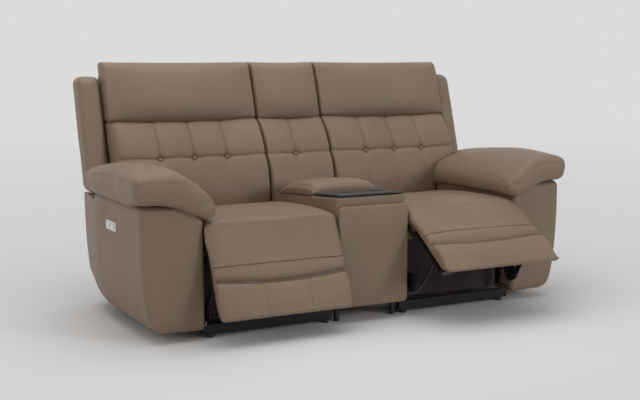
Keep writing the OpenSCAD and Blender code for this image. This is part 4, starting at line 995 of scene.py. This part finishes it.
def cup_tray():
    """Moulded tray: a plate that falls gently to the back, with two round wells.

    Round each well's middle the square rings of the lattice are pulled to circles: the point at (dx, dy)
    goes to (dx, dy) m / |(dx, dy)| with m = max(|dx|, |dy|), and beyond the rim back to the square."""
    radius, depth, thick, wall = 0.042, 0.066, 0.012, 0.0025
    low, high = np.array([-0.152, TRAY_FRONT_Y, -thick]), np.array([0.152, -0.115, 0.0])
    middle_y, wells = (low[1] + high[1]) / 2, (-0.0687, 0.0687)
    near = (0.0015, wall, 0.004, 0.007)
    rims = [well + way * radius for well in wells for way in (-1, 1)]
    xs = ticks(low[0], high[0], 0.010, 0.012, marks=rims, near=near)
    ys = ticks(low[1], high[1], 0.010, 0.012, marks=[middle_y - radius, middle_y + radius], near=near)
    p, quads = lattice(xs, ys, ticks(-thick, 0, 0.004, 0.003))
    p = round_corners(p, low, high, [0.012, 0.012, 0.003])
    on_top = p[:, 2] > -0.0001
    for well in wells:
        dx, dy = p[:, 0] - well, p[:, 1] - middle_y
        m, r = np.maximum(np.abs(dx), np.abs(dy)), np.maximum(np.hypot(dx, dy), 1e-6)
        pull = 1 - ease((m - radius - 0.005) / 0.006)
        scale = 1 + pull * (m / r - 1)
        p[:, 0], p[:, 1] = well + dx * scale, middle_y + dy * scale
        inner = np.where(on_top, radius - 0.0001, radius + wall + 0.0001)
        p[:, 2] -= np.where(m < inner, depth - np.where(on_top, wall, 0), 0)
    p[:, 2] += TRAY_TOP - TRAY_FALL * (p[:, 1] - TRAY_FRONT_Y)
    piece = mesh_piece("console_tray", p, quads, "tray", "root")
    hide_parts("cup_tray")


def console_front_pad():
    """Padded front panel: rounded edges and a broad swell (1 - u^4)(1 - v^4), u and v from -1 to 1."""
    low, high = np.array([-CONSOLE_X, -0.345, 0.064]), np.array([CONSOLE_X, -0.3225, 0.466])
    p, quads = lattice(ticks(low[0], high[0], 0.013, 0.018), ticks(low[1], high[1], 0.008, 0.009),
                       ticks(low[2], high[2], 0.013, 0.018))
    q = round_corners(p, low, high, [0.018, 0.014, 0.018])
    front = np.clip(1 - (p[:, 1] - low[1]) / 0.012, 0, 1)
    u, v = q[:, 0] / CONSOLE_X, np.clip((2 * q[:, 2] - low[2] - high[2]) / (high[2] - low[2]), -1, 1)
    q[:, 1] -= front * (0.006 * (1 - u ** 4) * (1 - v ** 4) + wrinkle(q, 91, 0.2, 0.0012))
    piece = mesh_piece("console_front_upholstery", q, quads, "leather", "root")
    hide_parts("console_front_pad")


def console_lid():
    """Padded lid: a pillow on a sloping rim, its top panel sewn to the border."""
    low, high = np.array([-LID_HALF, LID_FRONT_Y, 0.0]), np.array([LID_HALF, LID_REAR_Y, 1.0])
    p, quads = lattice(ticks(low[0], high[0], 0.011, 0.030), ticks(low[1], high[1], 0.011, 0.030),
                       ticks(0, 1, 0.12, 0.4))
    start = p.copy()
    radii = np.where(p[:, 2:] > 0.5, [0.030, 0.030, 0.46], [0.008, 0.008, 0.10])
    x, y, w = round_corners(p, low, high, radii).T
    across, along = x / LID_HALF, (2 * y - low[1] - high[1]) / (high[1] - low[1])
    top = curve(y, [-0.112, -0.08, -0.02, 0.06, 0.14, 0.18, 0.22],
                [0.530, 0.535, 0.5375, 0.534, 0.519, 0.504, 0.484])
    top = top - 0.006 * across ** 2 - 0.012 * across ** 6
    z = rim_z(y) + 0.0006 + w * (top - rim_z(y))
    x = x + np.sign(x) * 0.003 * (1 - along ** 2) * np.sin(math.pi * w)
    p = np.stack([x, y, z], 1)
    on_top = start[:, 2] > 0.999
    inside = np.minimum(start[:, 1] - low[1], high[1] - start[:, 1])
    inside = np.minimum(inside, LID_HALF - np.abs(start[:, 0]))
    from_edge = np.where(on_top, inside, (1 - start[:, 2]) * 0.06)
    p += normals_of(p, quads) * (wrinkle(p, 95, 0.12, 0.0012) - groove(from_edge, 0.0022, 0.004))[:, None]
    # Painted shade along the seam round the top panel.
    crease = 0.3 * np.exp(-from_edge / 0.003)
    piece = mesh_piece("console_lid_upholstery", p, quads, "leather", "console_lid", crease=crease)
    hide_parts("console_lid")


# The room: pale floor, soft lamps and the camera

# Linear greys of the seen background, of the floor's glow nearer by and of its paint, and the world's light
BACKDROP, NEAR_GLOW, FLOOR_PAINT, WORLD_LIGHT = 0.708, 0.63, 0.80, 0.30


def studio():
    """Floor, world and lamps of a plain studio; far off the floor fades to the background's grey."""
    scene = bpy.context.scene
    scene.view_settings.view_transform = "Standard"
    world = bpy.data.worlds.new("studio")
    scene.world = world
    world.use_nodes = True
    nodes, links = world.node_tree.nodes, world.node_tree.links
    light, seen = nodes["Background"], nodes.new("ShaderNodeBackground")
    light.inputs["Color"].default_value = (1.0, 1.0, 1.0, 1)
    light.inputs["Strength"].default_value = WORLD_LIGHT
    seen.inputs["Color"].default_value = (BACKDROP, BACKDROP, BACKDROP, 1)
    pick, path = nodes.new("ShaderNodeMixShader"), nodes.new("ShaderNodeLightPath")
    # The camera, gloss and glass see the pale background; everything else gets the world's plain light
    seen_by = path.outputs["Is Camera Ray"]
    for ray in ("Is Glossy Ray", "Is Transmission Ray"):
        either = nodes.new("ShaderNodeMath")
        either.operation = "MAXIMUM"
        links.new(seen_by, either.inputs[0])
        links.new(path.outputs[ray], either.inputs[1])
        seen_by = either.outputs["Value"]
    links.new(seen_by, pick.inputs["Fac"])
    links.new(light.outputs["Background"], pick.inputs[1])
    links.new(seen.outputs["Background"], pick.inputs[2])
    links.new(pick.outputs["Shader"], nodes["World Output"].inputs["Surface"])

    bpy.ops.mesh.primitive_plane_add(size=60, location=(0, 0, 0))
    floor = bpy.context.object
    floor.name = "floor"
    material = bpy.data.materials.new("pale_floor")
    material.use_nodes = True
    nodes, links = material.node_tree.nodes, material.node_tree.links
    shade = nodes["Principled BSDF"]
    shade.inputs["Base Color"].default_value = (FLOOR_PAINT, FLOOR_PAINT, FLOOR_PAINT, 1)
    shade.inputs["Roughness"].default_value = 0.9
    glow = nodes.new("ShaderNodeEmission")
    at = nodes.new("ShaderNodeTexCoord").outputs["Object"]
    away = nodes.new("ShaderNodeVectorMath")
    away.operation = "LENGTH"
    links.new(at, away.inputs[0])
    fade = nodes.new("ShaderNodeMapRange")
    fade.inputs["From Min"].default_value = 0.9
    fade.inputs["From Max"].default_value = 2.4
    fade.interpolation_type = "SMOOTHSTEP"
    links.new(away.outputs["Value"], fade.inputs["Value"])
    far = nodes.new("ShaderNodeMapRange")
    far.inputs["From Min"].default_value = 2.5
    far.inputs["From Max"].default_value = 11.0
    links.new(away.outputs["Value"], far.inputs["Value"])
    links.new(ramp(nodes, links, far.outputs["Result"], 0.0, 1.0, NEAR_GLOW, BACKDROP), glow.inputs["Color"])
    join = nodes.new("ShaderNodeMixShader")
    links.new(fade.outputs["Result"], join.inputs["Fac"])
    links.new(shade.outputs["BSDF"], join.inputs[1])
    links.new(glow.outputs["Emission"], join.inputs[2])
    links.new(join.outputs["Shader"], nodes["Material Output"].inputs["Surface"])
    floor.data.materials.append(material)

    for name, place, aim, size, power, tint in (
            ("key", (3.1, -5.6, 2.3), (0.1, 0.0, 0.5), 1.4, 95, (1.0, 1.0, 1.0)),
            ("overhead", (-0.3, 0.1, 3.6), (0.0, 0.0, 0.4), 4.2, 80, (1.0, 1.0, 1.0)),
            ("left_fill", (-5.0, -1.5, 2.2), (0.0, 0.0, 0.5), 3.0, 41, (1.0, 0.93, 0.86))):
        lamp = bpy.data.lights.new(name, "AREA")
        lamp.energy, lamp.size, lamp.color = power, size, tint
        holder = bpy.data.objects.new(name, lamp)
        scene.collection.objects.link(holder)
        holder.location = place
        holder.rotation_euler = (Vector(aim) - Vector(place)).to_track_quat("-Z", "Y").to_euler()


def camera():
    """The camera's stand: left of the sofa, a little above it, looking slightly down."""
    pitch, yaw = 7.38, 28.18
    data = bpy.data.cameras.new("camera")
    data.lens, data.sensor_width = 60.6, 36.0
    holder = bpy.data.objects.new("camera", data)
    bpy.context.scene.collection.objects.link(holder)
    holder.location = (-2.1711, -3.9418, 1.0291)
    holder.rotation_euler = Euler((math.radians(90 - pitch), 0, math.radians(-yaw)))
    bpy.context.scene.camera = holder


finish_cad_nodes()
past_edge, shell_low, middle_back_low = 0.10, 0.250, 0.190
back_columns = [back_low[0] - past_edge] + TUFT_XS + [back_high[0] + past_edge]
console_columns = [-CONSOLE_X - past_edge, CONSOLE_TUFT, CONSOLE_X + past_edge]
for half in SIDES:
    seat_cushion(half)
    chaise_flap(half)
    footrest_pad(half)
    footrest_board(half)
    knee_plates(half)
    lumbar("lumbar_upholstery", back_low[0], back_high[0], back_low[2], back_columns, TUFT_XS, "back",
           half + "_lumbar_cushion", half)
    tuft_buttons("tuft_domes", TUFT_XS, "back", side=half)
    headrest("headrest_pillow", head_low[0], head_high[0], "back", half + "_headrest", half)
    back_shell("back_cover", head_low[0], head_high[0], shell_low, "back", half + "_back_shell", half)
    wing(half)
    arm_cover(half)
    arm_pad(half)
lumbar("console_lumbar", -CONSOLE_X, CONSOLE_X, middle_back_low, console_columns, [CONSOLE_TUFT], "root",
       "console_back")
tuft_buttons("console_tuft_dome", [CONSOLE_TUFT], "root")
headrest("console_headrest", -CONSOLE_X, CONSOLE_X, "root", "console_back")
back_shell("console_back_cover", -CONSOLE_X, CONSOLE_X, middle_back_low, "root", "console_back")
console_box()
cup_tray()
console_front_pad()
console_lid()
camera()
studio()
